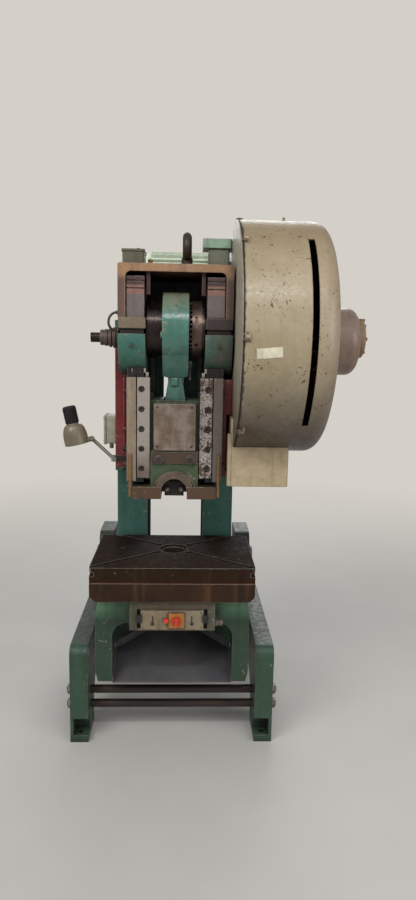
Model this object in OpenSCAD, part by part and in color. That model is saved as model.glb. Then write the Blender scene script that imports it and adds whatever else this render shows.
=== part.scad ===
// Open-back inclinable eccentric press with a side flywheel guard.
// Millimetres. X runs along the crankshaft to the flywheel side, Y to the back, Z up.
// The origin lies on the floor, in the middle of the rectangle of the four anchor holes.
// Inside on_ram() the Y axis starts at the plane of the crankshaft and the ram.

/* [Overall] */
// Height of the crankshaft axis above the floor
crank_z = 1656; // [1600:1:1700]
// Height of the working surface of the table
table_z = 800; // [760:1:840]
// Distance from the anchor-hole centre forward to the ram plane
ram_setback = 330; // [300:1:360]

/* [Base] */
// Distance from the middle to the outer face of a base leg
base_out = 417; // [400:1:440]
// Thickness of a base leg at its front
base_t = 74; // [66:1:78]
// Height of the top face of the front rails
rail_top = 417; // [390:1:440]
// Distance from the ram plane forward to the front of the base legs
base_front = 117; // [100:1:140]
// Distance from the ram plane back to the end of the rear feet
base_back = 777; // [740:1:800]
// Thickness of the foot plates
foot_t = 30; // [20:1:40]
// Height of the open pocket over a front foot
pocket_h = 75; // [60:1:90]
// Distance from the middle to the outer face of the rear uprights
upright_out = 350; // [345:1:356]
// Height of the rear uprights
upright_top = 768; // [750:1:790]
// Spacing of the anchor holes across the press
anchor_x = 760; // [740:1:780]
// Spacing of the anchor holes from front to back
anchor_y = 830; // [800:1:860]
// Diameter of the anchor holes
anchor_d = 26; // [18:1:32]

/* [Tilt] */
// Distance of the tilting axis behind the ram plane
pivot_y = 430; // [420:1:440]
// Height of the tilting axis
pivot_z = 640; // [630:1:650]
// Diameter of the trunnion pins
pivot_d = 56; // [40:1:64]
// Radius on which the clamp bolts travel
clamp_r = 150; // [145:1:155]
// Diameter of the clamp bolts
clamp_d = 24; // [20:1:28]
// Largest backward tilt in degrees
tilt_max = 25; // [15:1:25]

/* [Frame] */
// Distance from the middle to the outer face of the front legs of the frame
leg_out = 307; // [300:1:312]
// Thickness of the front legs of the frame
leg_t = 67; // [55:1:75]
// Distance from the ram plane forward to the front legs
leg_front = 150; // [140:1:160]
// Height of the bottom of the front legs
leg_bottom = 290; // [270:1:320]
// Height of the top of the front arch
arch_top = 540; // [520:1:560]
// Corner radius of the front arch
arch_r = 60; // [40:1:80]
// Distance from the middle to the outer face of the side plates
plate_out = 255; // [250:1:262]
// Thickness of the side plates
plate_t = 45; // [35:1:50]
// Half width of the open back
window_half = 125; // [120:1:135]
// Wall of the throat and rear flanges
flange_t = 34; // [28:1:40]
// Distance from the ram plane back to the throat
throat_y = 230; // [220:1:240]
// Distance from the ram plane back to the face of the head
head_y = 150; // [145:1:160]
// Height at which the throat turns into the head
throat_top = 1060; // [1040:1:1080]
// Depth of the frame at the floor side, from the ram plane
back_y = 560; // [550:1:575]
// Height of the seat of the crown
deck_z = 1730; // [1726:1:1740]

/* [Table] */
// Width of the table
table_w = 630; // [620:1:640]
// Distance from the ram plane forward to the table edge
table_front = 244; // [230:1:260]
// Distance from the ram plane back to the table edge
table_back = 186; // [180:1:200]
// Thickness of the bolster plate
bolster_t = 62; // [55:1:70]
// Thickness of the block under the bolster plate
block_t = 73; // [65:1:80]
// Radius of the drop hole
drop_r = 45; // [35:1:55]
// Width of the throat of a table slot
slot_w = 18; // [14:1:20]
// Width of the foot of a table slot
slot_foot_w = 32; // [28:1:36]

/* [Crankshaft] */
// Radius of the main journals
journal_r = 50; // [46:1:54]
// Wall of the bearing bushes
bush_t = 12; // [8:1:15]
// Throw of the eccentric
throw_e = 35; // [25:1:36]
// Radius of the eccentric
ecc_r = 96; // [90:1:100]
// Half width of the eccentric strap
strap_half = 50; // [46:1:54]
// Outer radius of the eccentric strap
strap_r = 143; // [138:1:150]
// Radius of the cheeks on both sides of the strap
cheek_r = 112; // [104:1:114]
// Inner end of the main bearings
bearing_in = 112; // [110:1:116]
// Outer end of the main bearings
bearing_out = 214; // [210:1:216]
// Outer radius of the bearing housings
housing_r = 143; // [138:1:146]
// Radius of the left shaft end
stub_r = 19; // [15:1:24]
// Radial clearance of the shafts in their bushes
run_gap = 0.05; // [0.03:0.01:0.09]

/* [Ram] */
// Height of the underside of the ram at the top of its stroke
ram_bottom = 1040; // [1030:1:1060]
// Height of the top of the ram over its underside
ram_h = 380; // [370:1:385]
// Half width of the ram over its ears
ear_half = 112; // [108:1:114]
// Half width of the ram body between the gib plates
body_half = 92; // [86:1:94]
// Distance from the ram plane forward to the ram face
ram_front = 112; // [108:1:114]
// Width of the bottom flange
ram_flange_w = 328; // [300:1:340]
// Thickness of the bottom flange
ram_flange_t = 48; // [40:1:50]
// Radius of the die shank bore
shank_r = 20; // [15:1:25]
// Depth of the die shank bore
shank_depth = 75; // [60:1:90]
// Half width of the arched clamp opening
arch_half = 50; // [44:1:54]
// Height of the ball joint over the underside of the ram
ball_h = 260; // [255:1:265]
// Radius of the ball
ball_r = 42; // [38:1:44]
// Radius of the adjusting screw
screw_r = 30; // [26:1:34]
// Travel of the adjusting screw to each side
screw_travel = 15; // [5:1:15]
// Clearance of the ram in its guides
slide_gap = 0.1; // [0.05:0.01:0.2]

/* [Guides] */
// Distance from the middle to the inner edge of a gib plate
gib_in = 96; // [95:1:100]
// Width of a gib plate
gib_w = 48; // [44:1:49]
// Thickness of a gib plate
gib_t = 25; // [20:1:28]
// Height of the lower end of the gib plates
gib_z0 = 1120; // [1112:1:1130]
// Height of the upper end of the gib plates
gib_z1 = 1508; // [1490:1:1510]
// Height of the lowest gib screw
gib_screw_z = 1157; // [1150:1:1165]
// Number of screws in a gib plate
gib_screws = 5; // [3:1:5]
// Spacing of the gib screws
gib_pitch = 76.7; // [70:0.1:80]
// Diameter of the counterbores in the gib plates
gib_bore_d = 24; // [20:1:26]
// Outer side of the guide blocks
guide_out = 184; // [180:1:190]
// Wall of the guide liners
liner_t = 8; // [6:1:10]

/* [Crown] */
// Height of the top of the crown
crown_top = 1926; // [1910:1:1940]
// Wall of the crown
crown_t = 29; // [24:1:34]
// Depth of the crown behind the ram plane
crown_back = 300; // [280:1:320]
// Distance from the ram plane forward to the crown rim
crown_front = 130; // [120:1:136]

/* [Drive] */
// Radius of the flywheel
wheel_r = 400; // [370:1:410]
// Width of the flywheel rim
wheel_w = 110; // [100:1:120]
// Distance of the motor axis behind the ram plane
motor_y = 480; // [470:1:490]
// Height of the motor axis
motor_z = 1945; // [1935:1:1955]
// Radius of the motor body
motor_r = 105; // [95:1:110]
// Radius of the motor pulley
pulley_r = 75; // [65:1:80]
// Number of drive belts
belts = 4; // [2:1:4]
// Spacing of the belts
belt_pitch = 20; // [18:1:22]

/* [Guard] */
// Room between the flywheel and the guard round it
guard_room = 40; // [30:1:50]
// Height of the drum axis above the crankshaft axis
guard_rise = 6; // [0:1:12]
// Right face of the guard, before its rounded edge
guard_x1 = 556; // [545:1:560]
// Radius of the rounded right edge
guard_edge_r = 55; // [50:1:80]
// Sheet thickness of the guard
guard_t = 4; // [3:0.5:6]
// Radius of the hub cover
hub_r = 130; // [120:1:140]
// Right end of the hub cover
hub_x = 708; // [690:1:720]
// Radius of the end cap
cap_r = 74; // [66:1:90]

/* [Fittings] */
// Width of the control panel
panel_w = 240; // [220:1:250]
// Height of the control panel
panel_h = 77; // [66:1:80]
// Radius of the red rotary handle
knob_r = 17; // [15:1:24]
// Radius of the lamp shade
shade_r = 47; // [40:1:52]
// Length of the lamp arm
arm_l = 120; // [110:1:135]
// Sheet thickness of the scrap chute
chute_t = 4; // [3:0.5:6]

/* [Hidden] */

eps = 0.5;
seat_gap = 0.3;
round_n = 72;
fine_n = 36;

base_in = base_out - base_t;
plate_in = plate_out - plate_t;
upright_in = plate_out + 28;
block_bottom = table_z - bolster_t - block_t;
bush_r = journal_r + run_gap + bush_t;
ecc_z = crank_z + throw_e;
gib_front = ram_front + 1;
gib_back = gib_front - gib_t;
gib_out = gib_in + gib_w;
guide_in = ear_half + slide_gap + liner_t;
guide_bottom = ram_bottom + ram_flange_t + 10;
ram_top = ram_bottom + ram_h;
ball_z = ram_bottom + ball_h;
ear_back = 100;
crown_half = bearing_out + 1;
guard_x0 = crown_half + 7;
guard_r = wheel_r + guard_room;
guard_z = crank_z + guard_rise;
wheel_x0 = guard_x0 + 66;
wheel_x1 = wheel_x0 + wheel_w;
green = [0.10, 0.33, 0.27];
grey_green = [0.45, 0.50, 0.42];
iron = [0.28, 0.20, 0.16];
steel = [0.55, 0.54, 0.50];
dark = [0.10, 0.10, 0.10];
beige = [0.63, 0.56, 0.44];
ochre = [0.52, 0.36, 0.22];
brass = [0.72, 0.55, 0.20];
red = [0.62, 0.12, 0.08];
yellow = [0.85, 0.65, 0.20];

// Helpers

function arc(cx, cy, r, a0, a1, n = 12) =
    [for (i = [0:n]) let (a = a0 + (a1 - a0) * i / n) [cx + r * cos(a), cy + r * sin(a)]];

// Outline of a belt round two wheels: [y, z] centres c1 and c2, radii r1 and r2.
function belt_loop(c1, r1, c2, r2, n = 40) =
    let (
        d = c2 - c1,
        heading = atan2(d[1], d[0]),
        open = acos((r1 - r2) / norm(d))
    )
    concat(
        arc(c1[0], c1[1], r1, heading + open, heading + 360 - open, n),
        arc(c2[0], c2[1], r2, heading - open, heading + open, n)
    );

module on_ram() {
    translate([0, -ram_setback, 0]) children();
}

module both_sides() {
    children();
    mirror([1, 0, 0]) children();
}

module x_rod(r, x0, x1, y, z, n = round_n) {
    translate([x0, y, z]) rotate([0, 90, 0]) cylinder(r = r, h = x1 - x0, $fn = n);
}

module y_rod(r, y0, y1, x, z, n = fine_n) {
    translate([x, y0, z]) rotate([-90, 0, 0]) cylinder(r = r, h = y1 - y0, $fn = n);
}

module z_rod(r, z0, z1, x, y, n = fine_n) {
    translate([x, y, z0]) cylinder(r = r, h = z1 - z0, $fn = n);
}

module box(x0, x1, y0, y1, z0, z1) {
    translate([x0, y0, z0]) cube([x1 - x0, y1 - y0, z1 - z0]);
}

// A side profile, [y, z] points, as thick as x0 to x1.
module side_slab(points, x0, x1) {
    translate([x0, 0, 0]) rotate([90, 0, 90]) linear_extrude(x1 - x0) polygon(points);
}

// A front profile, [x, z] points, as deep as y0 to y1.
module front_slab(points, y0, y1) {
    translate([0, y1, 0]) rotate([90, 0, 0]) linear_extrude(y1 - y0) polygon(points);
}

// A plan profile, [x, y] points, from z0 to z1.
module plan_slab(points, z0, z1) {
    translate([0, 0, z0]) linear_extrude(z1 - z0) polygon(points);
}

function rounded(x0, x1, y0, y1, r, n = 6) = concat(
    arc(x0 + r, y0 + r, r, 180, 270, n),
    arc(x1 - r, y0 + r, r, 270, 360, n),
    arc(x1 - r, y1 - r, r, 0, 90, n),
    arc(x0 + r, y1 - r, r, 90, 180, n)
);

module hex_along_x(across, x0, x1, y, z) {
    a = across / 2;
    c = a / cos(30);
    side_slab([for (i = [0:5]) [y + c * cos(60 * i), z + c * sin(60 * i)]], x0, x1);
}

module hex_along_y(across, y0, y1, x, z) {
    c = across / 2 / cos(30);
    front_slab([for (i = [0:5]) [x + c * cos(60 * i), z + c * sin(60 * i)]], y0, y1);
}

// Base

foot_in = 170;
rail_under = 205;
arch_side_r = 120;
front_hole_y = ram_setback - anchor_y / 2;
rear_hole_y = ram_setback + anchor_y / 2;
upright_y0 = pivot_y - 100;
upright_y1 = pivot_y + 130;
tie_front_y = -30;
tie_front_z = [125, 190];
tie_rear_y = base_back - 170;
tie_rear_z = 260;
tie_r = 12;

module base_leg_outline() {
    polygon(concat(
        [[-base_front, 0], [-base_front + foot_in, 0]],
        arc(-base_front + foot_in + arch_side_r, rail_under - arch_side_r, arch_side_r, 180, 90, 10),
        arc(base_back - foot_in - arch_side_r, rail_under - arch_side_r, arch_side_r, 90, 0, 10),
        [[base_back - foot_in, 0], [base_back, 0], [base_back, foot_t]],
        arc(base_back - 62, foot_t + 30, 30, 270, 190, 6),
        arc(upright_y1 + 10, rail_top - 60, 60, 10, 90, 6),
        arc(-base_front + 40, rail_top - 40, 40, 90, 180, 8)
    ));
}

module upright_outline() {
    polygon(concat(
        [[upright_y0 - 40, foot_t + 175]],
        [[upright_y1 + 20, foot_t + 175], [upright_y1 + 20, rail_top]],
        arc(upright_y1 - 45, upright_top - 45, 45, 0, 90, 8),
        arc(upright_y0 + 45, upright_top - 45, 45, 90, 180, 8),
        arc(upright_y0 - 50, rail_top + 50, 50, 0, -90, 8)
    ));
}

// The slot that a clamp bolt follows, with one round end at rest and one at full tilt.
module clamp_slot(x0, x1, half_w) {
    inner = clamp_r - half_w;
    outer = clamp_r + half_w;
    side_slab(concat(
        arc(pivot_y, pivot_z, outer, -90, -90 - tilt_max, 12),
        arc(pivot_y, pivot_z, inner, -90 - tilt_max, -90, 12)
    ), x0, x1);
    x_rod(half_w, x0, x1, pivot_y, pivot_z - clamp_r);
    x_rod(half_w, x0, x1, pivot_y + clamp_r * cos(-90 - tilt_max), pivot_z + clamp_r * sin(-90 - tilt_max));
}

module base_leg() {
    on_ram() difference() {
        union() {
            translate([base_in, 0, 0]) rotate([90, 0, 90]) linear_extrude(base_t) base_leg_outline();
            translate([upright_in, 0, 0]) rotate([90, 0, 90])
                linear_extrude(upright_out - upright_in) upright_outline();
        }
        box(base_in - eps, base_out - 12, -base_front - eps, -base_front + 75, foot_t, foot_t + pocket_h);
        for (y = [front_hole_y, rear_hole_y])
            z_rod(anchor_d / 2, -eps, foot_t + eps, anchor_x / 2, y);
        x_rod(pivot_d / 2, upright_in - eps, upright_out + eps, pivot_y, pivot_z);
        clamp_slot(upright_in - eps, upright_out + eps, clamp_d / 2 + 2);
        for (z = tie_front_z)
            x_rod(tie_r + seat_gap / 2, base_in - eps, base_out + eps, tie_front_y, z);
        x_rod(tie_r + seat_gap / 2, base_in - eps, base_out + eps, tie_rear_y, tie_rear_z);
    }
}

module base_leg_right() {
    color(green) base_leg();
}

module base_leg_left() {
    color(green) mirror([1, 0, 0]) base_leg();
}

// A tie bar with a shoulder tube between the legs and plain ends through their holes.
module tie_bar(y, z) {
    x_rod(tie_r + 5, -base_in, base_in, y, z, fine_n);
    x_rod(tie_r, -base_out - 26, base_out + 26, y, z, fine_n);
}

module tie_bars() {
    color(dark) on_ram() {
        for (z = tie_front_z)
            tie_bar(tie_front_y, z);
        tie_bar(tie_rear_y, tie_rear_z);
    }
}

module tie_nut(y, z) {
    difference() {
        union() {
            x_rod(24, base_out, base_out + 4, y, z, fine_n);
            hex_along_x(36, base_out + 4, base_out + 22, y, z);
        }
        x_rod(tie_r, base_out - eps, base_out + 30, y, z, fine_n);
    }
}

module tie_bar_nuts() {
    color(steel) on_ram() both_sides() {
        for (z = tie_front_z)
            tie_nut(tie_front_y, z);
        tie_nut(tie_rear_y, tie_rear_z);
    }
}

module trunnion_pins() {
    color(steel) on_ram() both_sides() {
        x_rod(pivot_d / 2, plate_in + 2, upright_out + eps, pivot_y, pivot_z);
        x_rod(pivot_d / 2 + 16, upright_out, upright_out + 14, pivot_y, pivot_z);
        x_rod(pivot_d / 2 + 6, upright_out + 13, upright_out + 22, pivot_y, pivot_z);
    }
}

// Frame

back_top_y = back_y - 140;
wall_z = 1560;
gap_half = upright_in - seat_gap;
throat_r = throat_y - head_y;
rod_gap = 52;
back_turn = 25;
back_r = 300;
back_z0 = 880;
back_drop = back_r * (1 - cos(back_turn));
back_z1 = back_z0 + 2 * back_r * sin(back_turn) + (back_y - back_top_y - 2 * back_drop) / tan(back_turn);

// Side view of a side plate, shrunk by off: bottom, back with its two bends, deck, head, throat.
function plate_points(off) = concat(
    [[60 + off, leg_bottom + 60 + off]],
    arc(back_y - 80, leg_bottom + 80, 80 - off, 270, 360, 6),
    arc(back_y - back_r, back_z0, back_r - off, 0, back_turn, 6),
    arc(back_top_y + back_r, back_z1, back_r + off, 180 + back_turn, 180, 6),
    [[back_top_y - off, deck_z - off], [head_y + off, deck_z - off]],
    arc(head_y, throat_top, throat_r + off, acos(off / (throat_r + off)), 0, 10),
    [[throat_y + off, block_bottom - off], [60 + off, block_bottom - off]]
);

module frame_side_plate() {
    x0 = plate_in;
    side_slab(plate_points(0), x0, plate_out);
    difference() {
        side_slab(plate_points(0), window_half, x0 + eps);
        side_slab(plate_points(flange_t), window_half - eps, x0 + 2 * eps);
    }
}

module frame_front_leg() {
    side_slab(concat(
        [[-leg_front, leg_bottom], [-leg_front + 110, leg_bottom]],
        arc(90, leg_bottom + 150, 130, 180, 90, 8),
        [[120, leg_bottom + 280], [120, block_bottom], [-leg_front, block_bottom]]
    ), leg_out - leg_t, leg_out);
}

// The bowed outer edge of the front legs: all that lies outside it is cut away.
module leg_bow() {
    bow = 22;
    r = 330;
    front_slab(concat(
        [[leg_out + 50, block_bottom + 1], [leg_out - bow, block_bottom + 1]],
        arc(leg_out - r, block_bottom - 120, r, 21, 0, 8),
        [[leg_out, leg_bottom + 40], [leg_out - 10, leg_bottom - 1], [leg_out + 50, leg_bottom - 1]]
    ), -leg_front - eps, throat_y + eps);
}

module frame_transom() {
    inner = leg_out - leg_t;
    difference() {
        box(-leg_out, leg_out, -leg_front, throat_y, arch_top - arch_r, block_bottom);
        front_slab(concat(
            [[-inner, 0], [inner, 0]],
            arc(inner - arch_r, arch_top - arch_r, arch_r, 0, 90, 10),
            arc(-inner + arch_r, arch_top - arch_r, arch_r, 90, 180, 10)
        ), -leg_front - eps, throat_y + eps);
        z_rod(drop_r + 15, arch_top - eps, block_bottom + eps, 0, 0, round_n);
    }
}

// One guide block, an L in plan, with the wall of the head behind it, open behind the rod.
module frame_guide_block() {
    box(guide_in, guide_out, -gib_back, head_y + eps, guide_bottom, crank_z - 60);
    box(body_half, guide_in + eps, ear_back + slide_gap, head_y + eps, guide_bottom, ram_top + 20);
    box(rod_gap, plate_out, head_y, head_y + flange_t, guide_bottom, deck_z);
    box(guide_in - 33, guide_in - 14, head_y - 12, head_y + eps, guide_bottom, crank_z - 62);
}

module frame_housing() {
    difference() {
        union() {
            x_rod(housing_r, bearing_in, bearing_out, 0, crank_z);
            box(bearing_in, bearing_out, 0, head_y + 10, crank_z - housing_r, deck_z);
        }
        box(bearing_in - eps, bearing_out + eps, -housing_r - eps, housing_r, crank_z + 14, crank_z + 200);
    }
}

module main_frame() {
    color(green) on_ram() difference() {
        union() {
            frame_transom();
            both_sides() {
                frame_front_leg();
                frame_side_plate();
                frame_guide_block();
                frame_housing();
                x_rod(62, plate_out - 1, gap_half, pivot_y, pivot_z);
                x_rod(clamp_d / 2 + 18, plate_out - 1, gap_half, pivot_y, pivot_z - clamp_r);
            }
            box(-plate_in, plate_in, throat_y - 30, back_y, block_bottom - 60, block_bottom);
            box(-plate_in, plate_in, back_y - flange_t, back_y, leg_bottom + 60, block_bottom);
            box(-plate_in, plate_in, back_top_y - flange_t, back_top_y, wall_z, deck_z);
            box(-window_half, window_half, throat_y, throat_y + flange_t, wall_z + 40, deck_z);
            box(rod_gap - 22, rod_gap + eps, head_y, head_y + flange_t, guide_bottom, ecc_z - strap_r - 10);
        }
        both_sides() {
            leg_bow();
            x_rod(bush_r, bearing_in - eps, bearing_out + eps, 0, crank_z);
            box(bearing_in - eps, bearing_out + eps, -bush_r, bush_r, crank_z, crank_z + 20);
            x_rod(pivot_d / 2 + run_gap, plate_in - eps, gap_half + eps, pivot_y, pivot_z);
            x_rod(clamp_d / 2, plate_in - eps, gap_half + eps, pivot_y, pivot_z - clamp_r);
            for (i = [0:gib_screws - 1])
                y_rod(7, -gib_back - eps, -gib_back + 60, gib_in + gib_w * 0.65, gib_screw_z + i * gib_pitch);
            for (y = [-stud_y, stud_y])
                z_rod(stud_r, crank_z - 70, crank_z + 20, stud_x, y);
        }
    }
}

module clamp_bolts() {
    z = pivot_z - clamp_r;
    color(steel) on_ram() both_sides() {
        x_rod(clamp_d / 2, plate_in + 2, upright_out + 20, pivot_y, z);
        x_rod(clamp_d / 2 + 14, upright_out + seat_gap, upright_out + 6, pivot_y, z);
        hex_along_x(clamp_d * 1.5, upright_out + 5, upright_out + 24, pivot_y, z);
    }
}

// Table

taper = 20;

module table_block() {
    half = table_w / 2;
    z1 = table_z - bolster_t;
    color(iron) on_ram() difference() {
        front_slab([
            [-half + taper, block_bottom], [half - taper, block_bottom],
            [half, block_bottom + taper], [half, z1], [-half, z1], [-half, block_bottom + taper]
        ], -table_front, table_back);
        z_rod(drop_r + 15, block_bottom - eps, z1 + eps, 0, 0, round_n);
    }
}

module table_slot(angle) {
    reach = 400;
    start = drop_r + 35;
    rotate([0, 0, angle]) {
        box(start, reach, -slot_w / 2, slot_w / 2, table_z - 34, table_z + eps);
        box(start, reach, -slot_foot_w / 2, slot_foot_w / 2, table_z - 34, table_z - 19);
        z_rod(slot_foot_w / 2, table_z - 34, table_z + eps, start, 0);
    }
}

module bolster_plate() {
    half = table_w / 2;
    z0 = table_z - bolster_t;
    color(iron) on_ram() difference() {
        plan_slab(rounded(-half, half, -table_front, table_back, 6), z0, table_z);
        z_rod(drop_r, z0 - eps, table_z + eps, 0, 0, round_n);
        z_rod(drop_r + 12, table_z - 10, table_z + eps, 0, 0, round_n);
        for (a = [37, 143, 217, 323])
            table_slot(a);
        for (p = [[-210, 0], [210, 0], [170, -105], [215, -125]])
            z_rod(8, table_z - 40, table_z + eps, p[0], p[1]);
    }
}

chute_half = leg_out - leg_t;
chute_tail = window_half - 3;
chute_y0 = -leg_front + 8;
chute_y1 = throat_y - 40;
chute_z0 = leg_bottom - 10;
chute_z1 = arch_top - 40;

// A band of the sloping chute, from depth lo to hi above its lower face.
module chute_band(lo, hi) {
    slope = atan2(chute_z1 - chute_z0, chute_y1 - chute_y0);
    n = [-sin(slope), cos(slope)];
    p0 = [chute_y0, chute_z0];
    p1 = [chute_y1, chute_z1];
    side_slab([p0 + lo * n, p1 + lo * n, p1 + hi * n, p0 + hi * n], -leg_out, leg_out);
}

// Half of the plan outline of the chute: wide between the legs, narrow between the side plates.
function chute_plan(inset) = [
    [0, chute_y0 - 50], [chute_half - inset, chute_y0 - 50], [chute_half - inset, -15],
    [chute_tail - inset, 50], [chute_tail - inset, chute_y1 + 50], [0, chute_y1 + 50]
];

// A bent sheet that lets scrap slide out between the front legs.
module scrap_chute() {
    color(dark) on_ram() both_sides() {
        intersection() {
            chute_band(0, chute_t);
            plan_slab(chute_plan(0), 0, block_bottom);
        }
        difference() {
            intersection() {
                chute_band(chute_t - 1, 26);
                plan_slab(chute_plan(0), 0, block_bottom);
            }
            plan_slab(concat([[-1, chute_y0 - 60]], chute_plan(chute_t), [[-1, chute_y1 + 60]]),
                -1, block_bottom + 1);
        }
    }
}

// Bearings

stud_x = (bearing_in + bearing_out) / 2;
stud_y = (bush_r + housing_r) / 2;
stud_r = 11;
cap_z0 = crank_z + 34;
cap_block_top = deck_z + 150;
cap_block_out = bearing_in + 71;

module bearing_bushes() {
    color(brass) on_ram() both_sides() difference() {
        x_rod(bush_r, bearing_in - 1, bearing_out + 1, 0, crank_z);
        x_rod(journal_r + run_gap, bearing_in - 2, bearing_out + 2, 0, crank_z);
    }
}

module bearing_cap() {
    difference() {
        union() {
            box(bearing_in, bearing_out, -crown_front, housing_r - 4, cap_z0, deck_z);
            box(bearing_in + 5, cap_block_out, -crown_front + 6, 40, deck_z - 1, cap_block_top);
            z_rod(6, cap_block_top - 1, cap_block_top + 10, bearing_in + 38, -60);
        }
        x_rod(bush_r, bearing_in - eps, bearing_out + eps, 0, crank_z);
        for (y = [-stud_y, stud_y])
            z_rod(stud_r, cap_z0 - eps, deck_z - 19, stud_x + 20, y);
        box(bearing_in + 4, cap_block_out + 1, -crown_front + 5, -crown_front + 10, deck_z + 104, deck_z + 108);
        box(bearing_in + 4, cap_block_out + 1, -crown_front + 5, -crown_front + 10, deck_z + 132, deck_z + 136);
    }
}

module bearing_cap_right() {
    color(ochre) on_ram() bearing_cap();
}

module bearing_cap_left() {
    color(ochre) mirror([1, 0, 0]) on_ram() bearing_cap();
}

module cap_shims() {
    color(dark) on_ram() both_sides() for (y = [-stud_y, stud_y])
        difference() {
            box(bearing_in + 8, bearing_out - 8, y - 18, y + 18, crank_z + 14, cap_z0);
            z_rod(stud_r, crank_z, cap_z0 + 1, stud_x, y);
        }
}

module cap_nuts() {
    color(steel) on_ram() both_sides() for (y = [-stud_y, stud_y])
        z_rod(stud_r, crank_z - 70, cap_z0, stud_x, y);
}

// Guides

module guide_liners() {
    color(brass) on_ram() both_sides()
        box(ear_half + slide_gap, guide_in, -gib_back + 2, ear_back, guide_bottom + 20, ram_top + 60);
}

module gib_plate() {
    difference() {
        box(gib_in, gib_out, -gib_front, -gib_back, gib_z0, gib_z1);
        for (i = [0:gib_screws - 1])
            translate([gib_in + gib_w * 0.65, 0, gib_screw_z + i * gib_pitch]) {
                y_rod(gib_bore_d / 2, -gib_front - eps, -gib_front + 14, 0, 0);
                y_rod(7, -gib_front, -gib_back + eps, 0, 0);
            }
    }
}

module gib_plate_right() {
    color(steel) on_ram() gib_plate();
}

module gib_plate_left() {
    color(steel) mirror([1, 0, 0]) on_ram() gib_plate();
}

module gib_screw() {
    difference() {
        union() {
            y_rod(gib_bore_d / 2 - 1.5, -gib_front + 3, -gib_front + 14, 0, 0);
            y_rod(7, -gib_front + 13, -gib_back + 60, 0, 0);
        }
        hex_along_y(9, -gib_front + 2, -gib_front + 9, 0, 0);
    }
}

module gib_screw_set() {
    color(dark) on_ram() both_sides() for (i = [0:gib_screws - 1])
        translate([gib_in + gib_w * 0.65, 0, gib_screw_z + i * gib_pitch]) gib_screw();
}

module guide_side_bars() {
    color(beige) on_ram() both_sides()
        box(gib_out + 4, guide_out, -gib_front, -gib_back, gib_z0 - 14, gib_z1);
}

module wear_strips() {
    color(brass) on_ram() both_sides()
        box(ram_flange_w / 2 + 1.5, ram_flange_w / 2 + 12, -gib_front - 6, -gib_front,
            ram_bottom + 6, gib_screw_z + 56);
}

// Set screws with lock nuts that push the guides in from the side.
module gib_adjusters() {
    color(dark) on_ram() both_sides() for (i = [0:gib_screws - 1]) {
        z = gib_screw_z + (i - 0.2) * gib_pitch;
        hex_along_x(24, guide_out, guide_out + 10, -20, z);
        x_rod(8, guide_out + 9, guide_out + 24, -20, z, fine_n);
    }
}

// Crown

module crown_hood() {
    inner = crown_half - crown_t;
    ceiling = crown_top - crown_t;
    color(ochre) on_ram() both_sides()
        box(bearing_in - 16, bearing_in - 2, -crown_front + 20, -crown_front + 70,
            cap_block_top - 65, ceiling + 1);
    color(ochre) on_ram() difference() {
        front_slab(concat(
            [[-crown_half, deck_z], [crown_half, deck_z]],
            arc(crown_half - 8, crown_top - 8, 8, 0, 90, 4),
            arc(-crown_half + 8, crown_top - 8, 8, 90, 180, 4)
        ), -crown_front, crown_back);
        front_slab(concat(
            [[-inner, deck_z - eps], [inner, deck_z - eps]],
            arc(inner - 20, ceiling - 20, 20, 0, 90, 6),
            arc(-inner + 20, ceiling - 20, 20, 90, 180, 6)
        ), -crown_front - eps, crown_back - crown_t);
    }
}

module lubricator() {
    x0 = -crown_half + 5;
    w = 84;
    d = 120;
    h = 60;
    color(grey_green) on_ram() {
        plan_slab(rounded(x0, x0 + w, 0, d, 8), crown_top, crown_top + h);
        plan_slab(rounded(x0 - 3, x0 + w + 3, -3, d + 3, 8), crown_top + h - 1, crown_top + h + 8);
        z_rod(13, crown_top + h + 7, crown_top + h + 16, x0 + 28, d - 32);
        for (i = [0:2])
            z_rod(7, crown_top + h + 7, crown_top + h + 13, x0 + 60, 25 + 35 * i);
    }
}

eye_r = 40;
eye_wire = 18;

module lifting_eye() {
    x = 40;
    y = 80;
    z = crown_top + 30 + eye_r + eye_wire;
    color(dark) on_ram() {
        z_rod(34, crown_top, crown_top + 14, x, y);
        z_rod(22, crown_top + 13, z - eye_r, x, y);
        translate([x, y, z]) rotate([0, 90, 0])
            rotate_extrude($fn = round_n) translate([eye_r, 0]) circle(r = eye_wire, $fn = fine_n);
    }
}

// Oil line down the left side to the guides, and a nipple on each bearing housing.
module oil_pipe() {
    x = -guide_out - 12;
    r = 5;
    y = -70;
    z0 = gib_z0 + 120;
    z1 = crank_z - housing_r - 14;
    color(steel) on_ram() {
        z_rod(r, z0, z1, x, y);
        translate([x, y, z1]) sphere(r = r, $fn = fine_n);
        x_rod(r, x, -guide_out, y, z0, fine_n);
        translate([x, y, z0]) sphere(r = r, $fn = fine_n);
        y_rod(r, y, head_y, x, z1);
        for (z = [z0 + 60, z1 - 50])
            box(x - 7, -guide_out, y - 8, y + 8, z, z + 12);
        both_sides() difference() {
            y_rod(6, -housing_r - 7, 0, (bearing_in + bearing_out) / 2, crank_z - 30);
            x_rod(housing_r + 0.2, bearing_in - 1, bearing_out + 1, 0, crank_z);
        }
    }
}

// Crankshaft and rod

stub_x = 332;
collar_x = 232;

module crankshaft() {
    color(steel) on_ram() {
        x_rod(journal_r, -bearing_out - 4, bearing_out + 4, 0, crank_z);
        x_rod(ecc_r, -strap_half - 2, strap_half + 2, 0, ecc_z);
        x_rod(cheek_r, -bearing_in + 3, -strap_half - 1, 0, ecc_z);
        x_rod(journal_r - 6, bearing_out, guard_x1 - 30, 0, crank_z);
        x_rod(journal_r - 14, guard_x1 - 31, guard_x1 + 60, 0, crank_z);
        x_rod(stub_r, -stub_x, -bearing_out, 0, crank_z);
    }
}

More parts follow.
